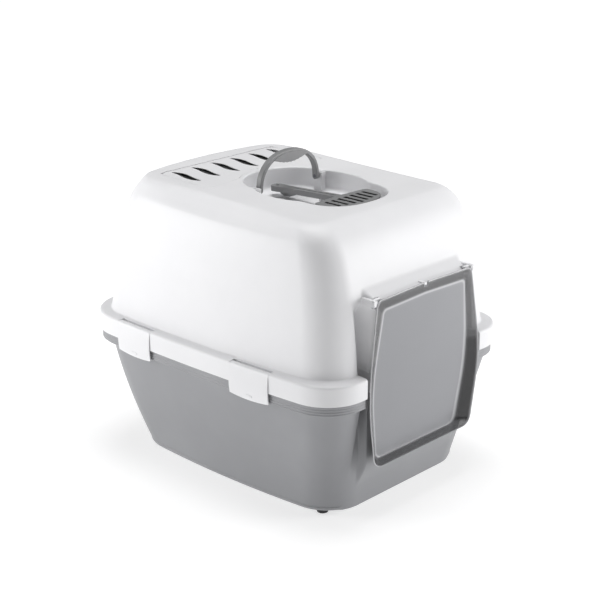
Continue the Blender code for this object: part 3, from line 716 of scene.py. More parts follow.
@dataclass
class Levels:
    """Levels of a shell, one value a level: a rounded rectangle whose front may carry the porch.

    porch and recess are the Y of the porch's face and of the grooves beside it. soft is half the width over
    which one turns into the other.
    """

    z: Array
    side: Array
    front: Array
    rear: Array
    front_radius: Array
    rear_radius: Array
    bow: Array
    porch: Array
    recess: Array
    soft: Array

    PORCH_HALF = 117.5 * MM
    PORCH_ROUND = 4 * MM
    PORCH_TOP = 357 * MM
    RECESS_HALF = 136.5 * MM
    FRONT_SPAN = 150 * MM
    REAR_BOW = 10 * MM
    ROOF_SLOPE = 0.0214
    TILT_START = 400 * MM
    ROOF_HEIGHT = 471.5 * MM
    ALONG_FRONT = np.concatenate([np.linspace(0, 104, 9), np.linspace(106, 148, 36), [150]]) * MM

    @staticmethod
    def stack(parts: list["Levels"]) -> "Levels":
        """Levels one after another."""
        names = [own.name for own in fields(Levels)]
        return Levels(**{name: np.concatenate([getattr(part, name) for part in parts]) for name in names})

    def table(self) -> Array:
        """All values, one row a level."""
        return np.stack([getattr(self, own.name) for own in fields(self)], axis=1)

    @staticmethod
    def from_table(table: Array) -> "Levels":
        """Levels from rows in the order of the fields."""
        return Levels(*table.T)

    def changed(self, **values: Array | float) -> "Levels":
        """The same levels with some quantities replaced; a number goes to every level.

        Args:
            values: New quantities by field.

        Returns:
            The changed levels.
        """
        kept = {own.name: getattr(self, own.name) for own in fields(self)}
        for name, value in values.items():
            kept[name] = np.broadcast_to(np.asarray(value, float), self.z.shape)
        return Levels(**kept)

    def drawn_in(self, amount: Array | float) -> "Levels":
        """The levels drawn in on every side; the porch and the recess stay.

        Args:
            amount: How far, for every level or each.

        Returns:
            The changed levels.
        """
        return self.changed(
            side=self.side - amount,
            front=self.front + amount,
            rear=self.rear - amount,
            front_radius=self.front_radius - amount,
            rear_radius=self.rear_radius - amount,
        )

    def between(self, other: "Levels", shares: Array) -> "Levels":
        """Straight blends from this single level to another."""
        low, high = self.table(), other.table()
        return Levels.from_table(low + (high - low) * shares[:, None])

    def rings(self) -> Array:
        """Rings of points, from the middle of the front round by +X and back.

        Each half is five runs: the front with the porch's displacement added, the rest of the front with its
        corner arc, the bowed side, the rear corner arc, and the bowed rear. An arc stops where its tangent
        meets the bow's.

        Returns:
            Level by point by coordinate.
        """
        column = {own.name: getattr(self, own.name)[:, None] for own in fields(self)}
        side, front, rear, bow = column["side"], column["front"], column["rear"], column["bow"]
        near, far = column["front_radius"], column["rear_radius"]
        front_x, rear_x = side - near, side - far
        front_y, rear_y = front + near, rear - self.REAR_BOW - far
        lean = np.arctan(4 * bow / (rear_y - front_y))

        x = self.ALONG_FRONT * np.minimum(1.0, (side - 0.4 * near) / self.FRONT_SPAN)
        over = np.clip((x - front_x) / near, 0, 1)
        y = front + near * (1 - np.sqrt(1 - over * over))
        soft = column["soft"]
        climb = np.clip((column["z"] - self.PORCH_TOP) / self.PORCH_ROUND + 1, 0, 1)
        porch_half = self.PORCH_HALF - self.PORCH_ROUND * (1 - np.sqrt(1 - climb * climb))
        porch = 1 - ease((x - porch_half + soft) / (2 * soft))
        groove = (1 - ease((x - self.RECESS_HALF + soft) / (2 * soft))) * (1 - porch)
        y = y + porch * (column["porch"] - front) + groove * (column["recess"] - front)

        first, last = np.arcsin(over[:, -1:]), math.pi / 2 - lean
        straight = np.maximum(front_x - x[:, -1:], 0)
        run = (straight + near * (last - first)) * np.linspace(0, 1, 15)[1:]
        angle = first + np.maximum(run - straight, 0) / near
        on_line = run < straight
        corner_x = np.where(on_line, x[:, -1:] + run, front_x + near * np.sin(angle))
        corner_y = np.where(on_line, front, front_y - near * np.cos(angle))

        angle = lean + (math.pi / 2 - np.arctan(2 * self.REAR_BOW / rear_x) - lean) * np.linspace(0, 1, 15)
        back_x, back_y = rear_x + far * np.cos(angle), rear_y + far * np.sin(angle)

        share = np.linspace(0, 1, 24)[1:-1]
        line = corner_x[:, -1:] + (back_x[:, :1] - corner_x[:, -1:]) * share
        peak = side + bow - (corner_x[:, -1:] + back_x[:, :1]) / 2
        side_x = line + peak * (1 - (2 * share - 1) ** 2)
        side_y = corner_y[:, -1:] + (back_y[:, :1] - corner_y[:, -1:]) * share

        share = np.linspace(0, 1, 13)[1:]
        end_x = back_x[:, -1:] * (1 - share)
        end_y = rear - (rear - back_y[:, -1:]) * (1 - share) ** 2

        half_x = np.concatenate([x, corner_x, side_x, back_x, end_x], axis=1)
        half_y = np.concatenate([y, corner_y, side_y, back_y, end_y], axis=1)
        ring_x = np.concatenate([half_x, -half_x[:, -2:0:-1]], axis=1)
        ring_y = np.concatenate([half_y, half_y[:, -2:0:-1]], axis=1)
        return np.stack([ring_x, ring_y, self.tilted(column["z"], ring_y)], axis=-1)

    def tilted(self, z: Array, y: Array) -> Array:
        """Heights that take up the roof's rise to the rear over the upper part of the walls."""
        share = np.clip((z - self.TILT_START) / (self.ROOF_HEIGHT - self.TILT_START), 0, 1)
        return z + y * self.ROOF_SLOPE * share


# Sets an outline in X and Y upright in Y and Z, and its thickness along X.
UPRIGHT = Matrix(((0, 0, 1, 0), (1, 0, 0, 0), (0, 1, 0, 0), (0, 0, 0, 1)))
# The roof's own frame: X and Y lie in the sloping roof, and Z is 0 on its outer face.
ROOF = Matrix.Translation((0, 0, Levels.ROOF_HEIGHT)) @ Matrix.Rotation(math.atan(Levels.ROOF_SLOPE), 4, "X")


@dataclass
class Porch:
    """The porch round the doorway, which leans forward towards its foot."""

    top: float = 352 * MM
    face: float = -279.9 * MM
    lean: float = 0.050
    ledge: float = 22 * MM
    recess: float = -247 * MM
    recess_top: float = 333 * MM
    tray_face: float = -266.8 * MM

    def at(self, z: Array) -> Array:
        """The face's Y at a height."""
        return self.face + (self.top - z) * self.lean

    def on_wall(self, walls: Levels) -> Levels:
        """Gives walls the porch, whose ledge rises back to them, and the grooves beside it.

        Args:
            walls: The plain walls.

        Returns:
            The changed walls.
        """
        ledge = ease((walls.z - self.top + 2 * MM) / self.ledge)
        fade = ease((walls.z - self.recess_top) / (self.top + 4 * MM - self.recess_top))
        porch = self.at(walls.z) * (1 - ledge) + walls.front * ledge
        recess = self.recess * (1 - fade) + walls.front * fade
        return walls.changed(porch=porch, recess=recess)

    def doorway(self) -> Array:
        """The doorway's outline, X against Z."""
        radii = (12 * MM, 36 * MM, 12 * MM)
        return six_sided((92 * MM, 338 * MM), (108 * MM, 211 * MM), (92 * MM, 108 * MM), radii)

    def doorway_cutter(self) -> Solid:
        """A prism through the front of both shells."""
        frame = Matrix.Translation((0, -215 * MM, 0)) @ Matrix.Rotation(math.pi / 2, 4, "X")
        return prism(self.doorway(), 0, 105 * MM).placed(frame)


def six_sided(
    top: Pair, middle: Pair, bottom: Pair, radii: Point, arch: float = 0.0, steps: int = 10
) -> Array:
    """The door's outline from the half widths and heights of its top, its widest level and its foot.

    Args:
        top: Half width and height of the top.
        middle: The same of the widest level.
        bottom: The same of the foot.
        radii: The corners' radii, from the top down.
        arch: How far the top rises in the middle.
        steps: Segments in each corner.

    Returns:
        X against the height, one row a point.
    """
    right = [(*bottom, radii[2]), (*middle, radii[1]), (*top, radii[0])]
    left = [(-corner[0], *corner[1:]) for corner in reversed(right)]
    crown = [(0, top[1] + arch, 200 * MM)] if arch else []
    return rounded(right + crown + left, radii[0], steps)


@dataclass
class Rim:
    """The band round the foot of the hood, and the lip of the tray below it."""

    side: float = 221.5 * MM
    front: float = -288 * MM
    rear: float = 290 * MM
    front_radius: float = 68 * MM
    rear_radius: float = 82 * MM
    bow: float = 6.8 * MM
    bottom: float = 211.3 * MM
    top: float = 243.5 * MM
    wall: float = 3 * MM

    def at(self, z: Array, inset: Array | float, porch: Array | float, recess: float) -> Levels:
        """Levels of the band, drawn in from its outer face.

        Args:
            z: Their heights.
            inset: How far each is drawn in.
            porch: The Y of the porch's face.
            recess: The Y of the grooves beside it.

        Returns:
            The levels.
        """
        one = np.ones_like(z)
        values = (self.side, self.front, self.rear, self.front_radius, self.rear_radius, self.bow)
        levels = Levels(z, *(value * one for value in values), porch * one, recess * one, 1.6 * MM * one)
        return levels.drawn_in(inset)

    def half_width(self, y: float) -> float:
        """The band's outer face along its side, a parabola between the corners.

        Args:
            y: Where along the side.

        Returns:
            Its distance from the middle.
        """
        front, rear = self.front + self.front_radius, self.rear - self.rear_radius
        share = (y - (front + rear) / 2) / ((rear - front) / 2)
        return self.side + self.bow * (1 - share * share)


@dataclass
class Well:
    """The well in the roof that holds the scoop and the handle's feet."""

    half: float = 80 * MM
    floor: float = 438 * MM
    front_y: float = -96 * MM
    front_half: float = 76 * MM
    front_power: float = 2.6
    rear_y: float = 4 * MM
    rear_half: float = 66 * MM
    centre: Pair = (0.0, -50 * MM)

    def outline(self, grow: float = 0.0) -> Array:
        """The well's edge: a squarish oval in front and half an ellipse behind.

        Args:
            grow: How far outside the edge.

        Returns:
            The outline, one row a point.
        """
        quarter = np.linspace(0, math.pi / 2, 40)
        turn = quarter - math.pi / 2
        front = oval(self.half + grow, self.front_half + grow, self.front_y, self.front_power, turn)
        rear = oval(self.half + grow, self.rear_half + grow, self.rear_y, 2.0, quarter)
        half = np.concatenate([front, rear])
        return np.concatenate([half, half[::-1] * (-1, 1)])

    def facing(self, ring: Array, grow: float = 0.0) -> Array:
        """The well's edge where lines from its centre to a ring's points cross it.

        Args:
            ring: The points of a ring round the well.
            grow: How far outside the well's own edge.

        Returns:
            X and Y, one row for each point of the ring.
        """
        edge = self.outline() - self.centre
        angle, reach = np.arctan2(edge[:, 1], edge[:, 0]), np.hypot(edge[:, 0], edge[:, 1])
        order = np.argsort(angle)
        toward = ring[:, :2] - self.centre
        bearing = np.arctan2(toward[:, 1], toward[:, 0])
        radius = np.interp(bearing, angle[order], reach[order], period=2 * math.pi) + grow
        return self.centre + radius[:, None] * np.stack([np.cos(bearing), np.sin(bearing)], axis=1)

    def rings(self, ring: Array, wall: float) -> Array:
        """Rings from the roof's outer ring over the roof, down the well and in over its floor.

        Args:
            ring: The outermost ring of the flat roof.
            wall: 0 for the upper face, and the wall's thickness for the lower one.

        Returns:
            Level by point by coordinate.
        """
        rim, fillet = 2.6 * MM, 5.0 * MM
        turn = np.linspace(0, math.pi / 2, 5)
        made = []
        outer = ring[:, :2]
        shore = self.facing(ring, rim + wall)
        for share in np.linspace(0, 1, 9)[1:-1]:
            made.append(self.level(outer + (shore - outer) * share, 0.0, wall))
        for angle in turn:
            edge = self.facing(ring, wall + rim * (1 - math.sin(angle)))
            made.append(self.level(edge, rim * (1 - math.cos(angle)), wall))
        depth = Levels.ROOF_HEIGHT - self.floor
        for angle in turn:
            edge = self.facing(ring, wall - fillet * (1 - math.cos(angle)) - 0.4 * MM)
            made.append(self.level(edge, depth - fillet * (1 - math.sin(angle)), wall))
        inner = made[-1][:, :2]
        for share in (0.7, 0.4, 0.1):
            made.append(self.level(self.centre + (inner - self.centre) * share, depth, wall))
        return np.stack(made)

    def level(self, place: Array, depth: float, wall: float) -> Array:
        """Points at a depth below the sloping roof, and a wall's thickness lower still."""
        height = Levels.ROOF_HEIGHT + place[:, 1] * Levels.ROOF_SLOPE - depth - wall
        return np.column_stack([place, height])


@dataclass
class Vent:
    """The vent cover on the roof, its seat, and the filter's pocket under it."""

    half: float = 135 * MM
    front: float = 55 * MM
    rear: float = 170 * MM
    thick: float = 3 * MM
    filter_size: Point = (236 * MM, 66 * MM, 8 * MM)
    filter_y: float = 126 * MM
    slot_y: float = 128 * MM
    slot_length: float = 74 * MM
    slot_width: float = 15 * MM
    slot_swing: float = 3 * MM
    slot_pitch: float = 44 * MM
    slots: int = 6
    window: Pair = (34 * MM, 48 * MM)
    window_pitch: float = 46 * MM
    windows: int = 5

    def outline(self, grow: float = 0.0, behind: float = 0.0) -> Array:
        """The cover's edge: its front goes round the well, and its corners are rounded.

        Args:
            grow: How far outside the edge.
            behind: How much further at the rear.

        Returns:
            The outline, one row a point.
        """
        side, rear = self.half + grow, self.rear + behind
        arc = oval(88 * MM - grow, 74 * MM - grow, 4 * MM, 2.0, np.linspace(math.pi / 2, 0.87, 24))
        corners = [
            (0, self.front),
            (side, self.front - 2 * MM - grow, 5 * MM),
            (side - 5 * MM, rear, 16 * MM),
            (0, rear),
        ]
        edge = rounded(corners, 1 * MM, 8)
        return both_halves(np.concatenate([arc, edge[edge[:, 0] > 5 * MM], [(5 * MM, rear)]]))

    def slot(self, index: int) -> Array:
        """One air slot, a leaf: flanks as a power of a parabola, on a middle line that swings as a sine.

        Args:
            index: Which slot, from the left.

        Returns:
            The outline, one row a point.
        """
        share = np.linspace(-1, 1, 33)[1:-1]
        middle = (index - (self.slots - 1) / 2) * self.slot_pitch
        middle = middle + self.slot_swing * np.sin(math.pi * share)
        half = self.slot_width / 2 * (1 - share * share) ** 0.8
        y = self.slot_y + self.slot_length / 2 * share
        right, left = np.stack([middle + half, y], axis=1), np.stack([middle - half, y], axis=1)
        return np.concatenate([right, left[::-1]])

    def hinge(self, radius: float, inner: float, outer: float) -> Solid:
        """A bar on the hinge's line at each side, between two distances from the cover's corner.

        Args:
            radius: Their radius.
            inner: Their inner end's distance from the corner.
            outer: Their outer end's distance from it.

        Returns:
            The two bars.
        """
        bars = []
        for side in Side:
            start = (side.value * (self.half - inner), self.rear - 3 * MM, -self.thick / 2)
            end = (side.value * (self.half - outer), self.rear - 3 * MM, -self.thick / 2)
            bars.append(rod(radius, start, end, 20))
        return joined(bars).placed(ROOF)


def fit_out(made: bpy.types.Object, body: str, slot: Slot, finish: bpy.types.Material, *nodes: str) -> None:
    """Gives a finished piece its material, its body and the CAD nodes it stands for.

    Args:
        made: The piece.
        body: The CAD body it moves with.
        slot: The record's material slot; not used.
        finish: Its material.
        nodes: The CAD nodes that it replaces.
    """
    made.data.materials.clear()
    made.data.materials.append(finish)
    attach(made, body)
    if nodes:
        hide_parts(*nodes)
    log.info("%s rides on %s, %d faces", made.name, body, len(made.data.polygons))


@dataclass
class ClipPlace:
    """Where one side clip sits: its own frame has its origin on the rod, X out of the band and Y along it."""

    name: str
    y: float
    side: Side
    length: float = 80 * MM
    inset: float = 8 * MM
    rod_z: float = 238.8 * MM
    rod_radius: float = 1.5 * MM

    def frame(self, rim: Rim) -> Matrix:
        """The clip's own frame.

        Args:
            rim: The band that it sits in.

        Returns:
            The frame.
        """
        ahead = rim.half_width(self.y + self.length / 2)
        behind = rim.half_width(self.y - self.length / 2)
        lean = math.atan2(behind - ahead, self.length)
        turn = lean if self.side is Side.RIGHT else math.pi - lean
        x = self.side.value * ((ahead + behind) / 2 - self.inset)
        return Matrix.Translation((x, self.y, self.rod_z)) @ Matrix.Rotation(turn, 4, "Z")


CLIPS = [
    ClipPlace("front_left", -125 * MM, Side.LEFT),
    ClipPlace("front_right", -125 * MM, Side.RIGHT),
    ClipPlace("rear_left", 138 * MM, Side.LEFT),
    ClipPlace("rear_right", 138 * MM, Side.RIGHT),
]


@dataclass
class Hood:
    """The white hood: its walls, the band round its foot, the porch, the well and the vent's seat."""

    rim: Rim
    porch: Porch
    well: Well
    vent: Vent
    handle_y: float = HANDLE_Y
    handle_z: float = HANDLE_Z
    handle_half: float = HANDLE_HALF
    flap_y: float = FLAP_Y
    flap_z: float = FLAP_Z

    # Millimetres: height, half width, front, rear, front and rear corner radius, and the sides' bow.
    WALLS = np.array(
        [
            (246, 204, -270, 269, 60, 66, 6.8),
            (290, 200, -266, 261, 60, 66, 6.8),
            (335, 196, -261, 252, 60, 65, 6.8),
            (352, 195, -258, 248, 59, 65, 6.8),
            (372, 193, -254, 244, 58, 64, 6.8),
            (398, 191, -248, 239, 56, 62, 6.8),
            (425, 188, -240, 233, 54, 60, 6.8),
            (445, 184, -230, 225, 50, 60, 6.0),
            (457, 177, -220, 218, 44, 58, -2),
            (466, 169, -207, 212, 38, 54, -6),
            (470.5, 158, -195, 207, 30, 46, -1.5),
            (471.5, 148, -182, 197, 24, 42, 4),
        ]
    )

    def walls(self, count: int) -> Levels:
        """The wall's levels: smooth curves through WALLS, read at even steps along the profile.

        Args:
            count: How many levels.

        Returns:
            The levels.
        """
        knots = self.WALLS * MM
        steps = np.hypot(np.diff(knots[:, 0]), np.diff(knots[:, 1]))
        places = np.concatenate([[0], np.cumsum(steps)])
        read = smooth_through(places, knots, np.linspace(0, places[-1], count))
        z = read[:, 0]
        low = np.clip((z - 300 * MM) / (40 * MM), 0, 1)
        plain = Levels(*read.T, read[:, 2], read[:, 2], (5.2 + 1.0 * low) * MM)
        return self.porch.on_wall(plain)

    def outer_rings(self) -> Array:
        """Up the outside: the band's rounded foot, its face, its rounded top, the ledge and the walls.

        Returns:
            Level by point by coordinate.
        """
        rim = self.rim
        quarter = np.linspace(0, math.pi / 2, 6)
        foot, crown = 1.2 * MM, 4.2 * MM
        low = rim.bottom + foot * (1 - np.cos(quarter))
        high = rim.top - crown + crown * np.sin(quarter)
        z = np.concatenate([low, [221 * MM, 230 * MM], high])
        inset = np.concatenate([foot * (1 - np.sin(quarter)), [0, 0], crown * (1 - np.cos(quarter))])
        band = rim.at(z, inset, self.porch.at(z), self.porch.recess)
        walls = self.walls(72)
        top = Levels.from_table(band.table()[-1:])
        foot_level = Levels.from_table(walls.table()[:1]).changed(z=245 * MM)
        shares = np.array([0.25, 0.5, 0.75, 0.88, 0.95, 0.985])
        ledge = top.between(foot_level, shares)
        ledge = ledge.changed(z=rim.top + np.array([0.3, 0.5, 0.8, 1.2, 1.8, 2.6]) * MM)
        walls = walls.changed(z=np.maximum(walls.z, 247.4 * MM))
        return Levels.stack([band, ledge, walls]).rings()

    def inner_rings(self) -> Array:
        """Down the inside: under the roof's edge, down the walls, under the ledge and behind the band.

        Returns:
            Level by point by coordinate.
        """
        back = self.porch.recess + WALL
        walls = self.walls(30)
        thin = np.where(walls.z > 464 * MM, WALL, np.where(walls.z > 450 * MM, 0.6 * WALL, 0))
        plain = np.where(walls.z < self.porch.top + self.porch.ledge, np.maximum(walls.front + WALL, back), 0)
        flat = np.where(plain < 0, plain, walls.front + WALL)
        inner = walls.drawn_in(WALL).changed(z=walls.z - thin, porch=flat, recess=flat)
        table = inner.table()[::-1]
        under = self.rim.top - self.rim.wall
        ledge = Levels.from_table(table[-1:]).changed(z=under, porch=back, recess=back)
        z = np.array([under, under, self.rim.bottom])
        inset = np.array([15 * MM, self.rim.wall, self.rim.wall])
        return Levels.stack([Levels.from_table(table), ledge, self.rim.at(z, inset, back, back)]).rings()

    def skin(self) -> Solid:
        """The closed shell: under the well, over the inside, round the band's foot and up outside.

        Returns:
            The solid.
        """
        outer, inner = self.outer_rings(), self.inner_rings()
        above, below = self.well.rings(outer[-1], 0.0), self.well.rings(inner[0], WALL)
        return loft(np.concatenate([below[::-1], inner, outer, above]))

    def bearings(self) -> Solid:
        """A post beside each foot of the handle.

        Returns:
            The two posts.
        """
        posts = []
        for side in Side:
            ends = sorted(side.value * x for x in (self.handle_half + 4.6 * MM, self.well.half + 1 * MM))
            low = (ends[0], self.handle_y - 9 * MM, self.well.floor - 1 * MM)
            posts.append(cuboid(low, (ends[1], self.handle_y + 9 * MM, self.handle_z + 5.5 * MM), 1.2 * MM))
        return joined(posts)

    def bearing_slots(self) -> Solid:
        """A slot behind each post, which lets it spring when the handle is snapped in.

        Returns:
            The two cutters.
        """
        slots = []
        for side in Side:
            ends = sorted(side.value * x for x in (self.handle_half + 8.4 * MM, self.handle_half + 11.2 * MM))
            low = (ends[0], self.handle_y - 6.5 * MM, self.well.floor + 6 * MM)
            slots.append(cuboid(low, (ends[1], self.handle_y + 6.5 * MM, self.handle_z + 12 * MM), 1 * MM))
        return joined(slots)

    def scoop_rests(self) -> Solid:
        """Two ribs on the well's floor under the scoop's blade and bar.

        Returns:
            The two ribs.
        """
        rests = []
        for half, y, top in ((40 * MM, -135 * MM, 460.2 * MM), (6 * MM, -70 * MM, 452.2 * MM)):
            low = (-half, y - 1.5 * MM, self.well.floor + y * Levels.ROOF_SLOPE - 1 * MM)
            rests.append(cuboid(low, (half, y + 1.5 * MM, top), 1 * MM))
        return joined(rests)

    def clip_bosses(self) -> Solid:
        """A boss at both ends of each clip's gap.

        Returns:
            The eight bosses.
        """
        bosses = []
        for place in CLIPS:
            half = place.length / 2 + GAP
            for end in (-1, 1):
                span = sorted((end * half, end * (half + 5.2 * MM)))
                boss = cuboid((-4 * MM, span[0], -5 * MM), (4 * MM, span[1], 3 * MM))
                bosses.append(boss.placed(place.frame(self.rim)))
        return joined(bosses)

    def clip_gaps(self) -> Solid:
        """The gaps in the band for the clips.

        Returns:
            The four cutters.
        """
        gaps = []
        for place in CLIPS:
            half = place.length / 2 + 0.5 * MM
            gap = cuboid((-4.3 * MM, -half, -30 * MM), (16 * MM, half, 12 * MM))
            gaps.append(gap.placed(place.frame(self.rim)))
        return joined(gaps)

    def rod_holes(self) -> Solid:
        """The holes for the clips' rods.

        Returns:
            The four cutters.
        """
        holes = []
        for place in CLIPS:
            reach = place.length / 2 + 4.3 * MM
            hole = rod(place.rod_radius + GAP, (0, -reach, 0), (0, reach, 0), 20)
            holes.append(hole.placed(place.frame(self.rim)))
        return joined(holes)

    def lugs(self) -> Solid:
        """The ear at each side of the flap that carries its pin, and the tab over the flap's middle.

        Returns:
            The three lugs.
        """
        low = (-3 * MM, self.flap_y - 2 * MM, self.flap_z - 0.5 * MM)
        made = cuboid(low, (3 * MM, -268 * MM, self.flap_z + 3 * MM), 1 * MM)
        for side in Side:
            span = sorted(side.value * x for x in (116.3 * MM, 121.3 * MM))
            outline = [
                (self.flap_y - 3 * MM, self.flap_z - 7 * MM, 2.5 * MM),
                (-256.5 * MM, self.flap_z - 7 * MM, 0.5 * MM),
                (-256.5 * MM, self.flap_z + 3 * MM, 0.5 * MM),
                (self.flap_y - 3 * MM, self.flap_z + 3 * MM, 2.5 * MM),
            ]
            made = made + prism(rounded(outline, 1 * MM, 5), span[0], span[1]).placed(UPRIGHT)
        return made

    def side_cuts(self, inner: float, outer: float, low: Pair, high: Pair) -> Solid:
        """A block at each side, between two distances from the middle.

        Args:
            inner: The nearer distance.
            outer: The further one.
            low: The lowest Y and Z.
            high: The highest Y and Z.

        Returns:
            The two blocks.
        """
        blocks = []
        for side in Side:
            span = sorted((side.value * inner, side.value * outer))
            blocks.append(cuboid((span[0], low[0], low[1]), (span[1], high[0], high[1])))
        return joined(blocks)

    def side_bores(self, radius: float, inner: float, outer: float, y: float, z: float) -> Solid:
        """A round hole at each side, along X."""
        bores = [rod(radius, (s.value * inner, y, z), (s.value * outer, y, z), 24) for s in Side]
        return joined(bores)

    def build(self, finish: bpy.types.Material) -> None:
        """Makes the hood and fits it out.

        Args:
            finish: The white plastic.
        """
        vent = self.vent
        seat = -vent.thick - GAP
        pocket = seat - vent.filter_size[2] - 0.6 * MM
        made = self.skin().piece("hood_shell")
        under_seat = prism(vent.outline(3 * MM, 6 * MM), pocket - WALL, -1.3 * MM).placed(ROOF)
        carve(made, "UNION", under_seat + self.clip_bosses() + self.bearings() + self.scoop_rests())
        seat_cut = prism(vent.outline(0.6 * MM, 2 * MM), seat, 20 * MM).placed(ROOF)
        low, high = (-300 * MM, self.flap_z - 12 * MM), (-271 * MM, self.flap_z + 9 * MM)
        hinge_room = self.side_cuts(99.5 * MM, 115.5 * MM, low, high)
        cuts = seat_cut + self.clip_gaps() + self.porch.doorway_cutter() + hinge_room + self.bearing_slots()
        carve(made, "DIFFERENCE", cuts)
        half_x, half_y = vent.filter_size[0] / 2 + 1 * MM, vent.filter_size[1] / 2 + 1 * MM
        low = (-half_x, vent.filter_y - half_y, pocket)
        filter_room = cuboid(low, (half_x, vent.filter_y + half_y, 0), 4 * MM)
        reach = self.handle_half + 8 * MM
        bores = self.side_bores(3.3 * MM, self.handle_half, reach, self.handle_y, self.handle_z)
        carve(made, "DIFFERENCE", filter_room.placed(ROOF) + self.rod_holes() + bores)
        side = vent.half - 6.8 * MM
        low = (-side, vent.rear - 9 * MM, seat - 4.5 * MM)
        reliefs = [cuboid(low, (side, vent.rear + 0.7 * MM, 8 * MM))]
        half_x, half_y = vent.window[0] / 2, vent.window[1] / 2
        for index in range(vent.windows):
            x = (index - (vent.windows - 1) / 2) * vent.window_pitch
            low = (x - half_x, vent.filter_y - half_y, pocket - 2 * WALL)
            reliefs.append(cuboid(low, (x + half_x, vent.filter_y + half_y, 0), 4 * MM))
        carve(made, "DIFFERENCE", joined(reliefs).placed(ROOF))
        carve(made, "UNION", self.lugs())
        bores = self.side_bores(2.1 * MM, 113.3 * MM, 124.3 * MM, self.flap_y, self.flap_z)
        carve(made, "DIFFERENCE", bores + vent.hinge(1.6 * MM, 25 * MM, 2.5 * MM))
        shade(made)
        fit_out(made, "hood", Slot.HOOD, finish, "hood")


@dataclass
class Tray:
    """The grey tray: leaning walls, a ribbed lip under the hood's band, and an upstand inside the lip."""

    rim: Rim
    porch: Porch
    base: float = 8 * MM
    lip_bottom: float = LIP_BOTTOM
    upstand_top: float = 226 * MM
    lip_inset: float = 3.5 * MM
    wall_inset: float = 12 * MM
    rear_inset: float = 26 * MM
    belly: float = 0.75
    recess_foot: float = 60 * MM
    foot_side: float = 170 * MM
    foot_front: float = -242 * MM
    foot_rear: float = 210 * MM
    foot_front_radius: float = 66 * MM
    foot_rear_radius: float = 62 * MM
    rib_depth: float = 0.55 * MM
    rib_pitch: float = 4.2 * MM
    foot_bead: float = 0.9 * MM

    def walls(self, z: Array) -> Levels:
        """The leaning wall, straight from the foot to the lip, with a belly at the rear.

        Args:
            z: Their heights.

        Returns:
            The levels.
        """
        share = (z - self.base) / (self.lip_bottom - self.base)
        full = share * (1 + self.belly * (1 - share))
        front = self.foot_front + (self.rim.front + self.wall_inset - self.foot_front) * share
        fade = ease((z - self.recess_foot) / (self.lip_bottom - self.recess_foot)) * 0.5
        fade = fade + 0.5 * np.clip((z - self.recess_foot) / (self.lip_bottom - self.recess_foot), 0, 1)
        proud = ease((z - 45 * MM) / (55 * MM))
        near, far = self.rim.front_radius - self.wall_inset, self.rim.rear_radius - self.wall_inset
        return Levels(
            z,
            self.foot_side + (self.rim.side - self.wall_inset - self.foot_side) * share,
            front,
            self.foot_rear + (self.rim.rear - self.rear_inset - self.foot_rear) * full,
            self.foot_front_radius + (near - self.foot_front_radius) * share,
            self.foot_rear_radius + (far - self.foot_rear_radius) * share,
            np.full_like(z, self.rim.bow),
            front + (self.porch.tray_face - front) * proud,
            front + (self.porch.recess - front) * fade,
            np.full_like(z, 4.5 * MM),
        )

    def lip(self) -> Levels:
        """The lip's levels: ribs as a raised cosine of height, above a rounded lower edge.

        Returns:
            The levels.
        """
        z = np.linspace(self.lip_bottom + 0.4 * MM, 211 * MM, 34)
        ribs = self.rib_depth * (0.5 + 0.5 * np.cos(2 * math.pi * (z - self.lip_bottom) / self.rib_pitch))
        edge = 1.2 * MM * (1 - ease((z - z[0]) / (1.6 * MM)))
        return self.rim.at(z, self.lip_inset + ribs + edge, self.porch.tray_face, self.porch.recess)

    def build(self, finish: bpy.types.Material) -> None:
        """Makes the tray and fits it out.

        Args:
            finish: The grey plastic.
        """
        quarter = np.linspace(0, math.pi / 2, 7)[1:]
        foot_round = 5 * MM
        low = self.base + foot_round * (1 - np.cos(quarter))
        z = np.concatenate([low, np.array([14.6, 15.3]) * MM, np.linspace(16.2, 193.4, 60) * MM])
        wall = self.walls(z)
        tuck = foot_round * (1 - np.sin(quarter)) * 0.8 - self.foot_bead
        tuck = np.concatenate([tuck, [-self.foot_bead, -0.3 * self.foot_bead], np.zeros(60)])
        outside = wall.drawn_in(tuck)
        foot = self.walls(np.array([self.base])).drawn_in(4.4 * MM)
        foot = foot.changed(porch=foot.front, recess=foot.front)
        top = self.walls(np.array([self.lip_bottom]))
        behind = self.porch.recess + WALL + 0.6 * MM
        shelf = top.changed(z=211 * MM, porch=behind, recess=behind)
        upstand = shelf.drawn_in(0.8 * MM).changed(z=self.upstand_top - 0.6 * MM)
        crest = shelf.drawn_in(1.2 * MM).changed(z=self.upstand_top)
        flat = behind + WALL
        back = shelf.drawn_in(WALL + 0.4 * MM).changed(z=self.upstand_top, porch=flat, recess=flat)
        z = np.concatenate([np.linspace(self.lip_bottom, 26 * MM, 24), np.array([20, 16, 13.2, 11.4]) * MM])
        inner = self.walls(z)
        plain = np.maximum(np.maximum(inner.recess, inner.porch), inner.front) + WALL
        sink = WALL + 9 * MM * (1 - np.sqrt(np.clip(1 - (1 - (z - 10.4 * MM) / (15 * MM)) ** 2, 0, 1)))
        sink = np.where(z < 25.4 * MM, sink, WALL)
        inside = inner.drawn_in(sink).changed(porch=plain, recess=plain)
        low = np.maximum(plain, inside.front)
        inside = inside.changed(porch=low, recess=low)
        floor = Levels.from_table(inside.table()[-1:]).drawn_in(4 * MM).changed(z=self.base + WALL)
        floor = floor.changed(porch=floor.front, recess=floor.front)
        rings = Levels.stack([foot, outside, self.lip(), shelf, upstand, crest, back, inside, floor]).rings()
        made = loft(rings).piece("tray_shell")
        carve(made, "DIFFERENCE", self.porch.doorway_cutter())
        shade(made)
        fit_out(made, "base", Slot.TRAY, finish, "tray")


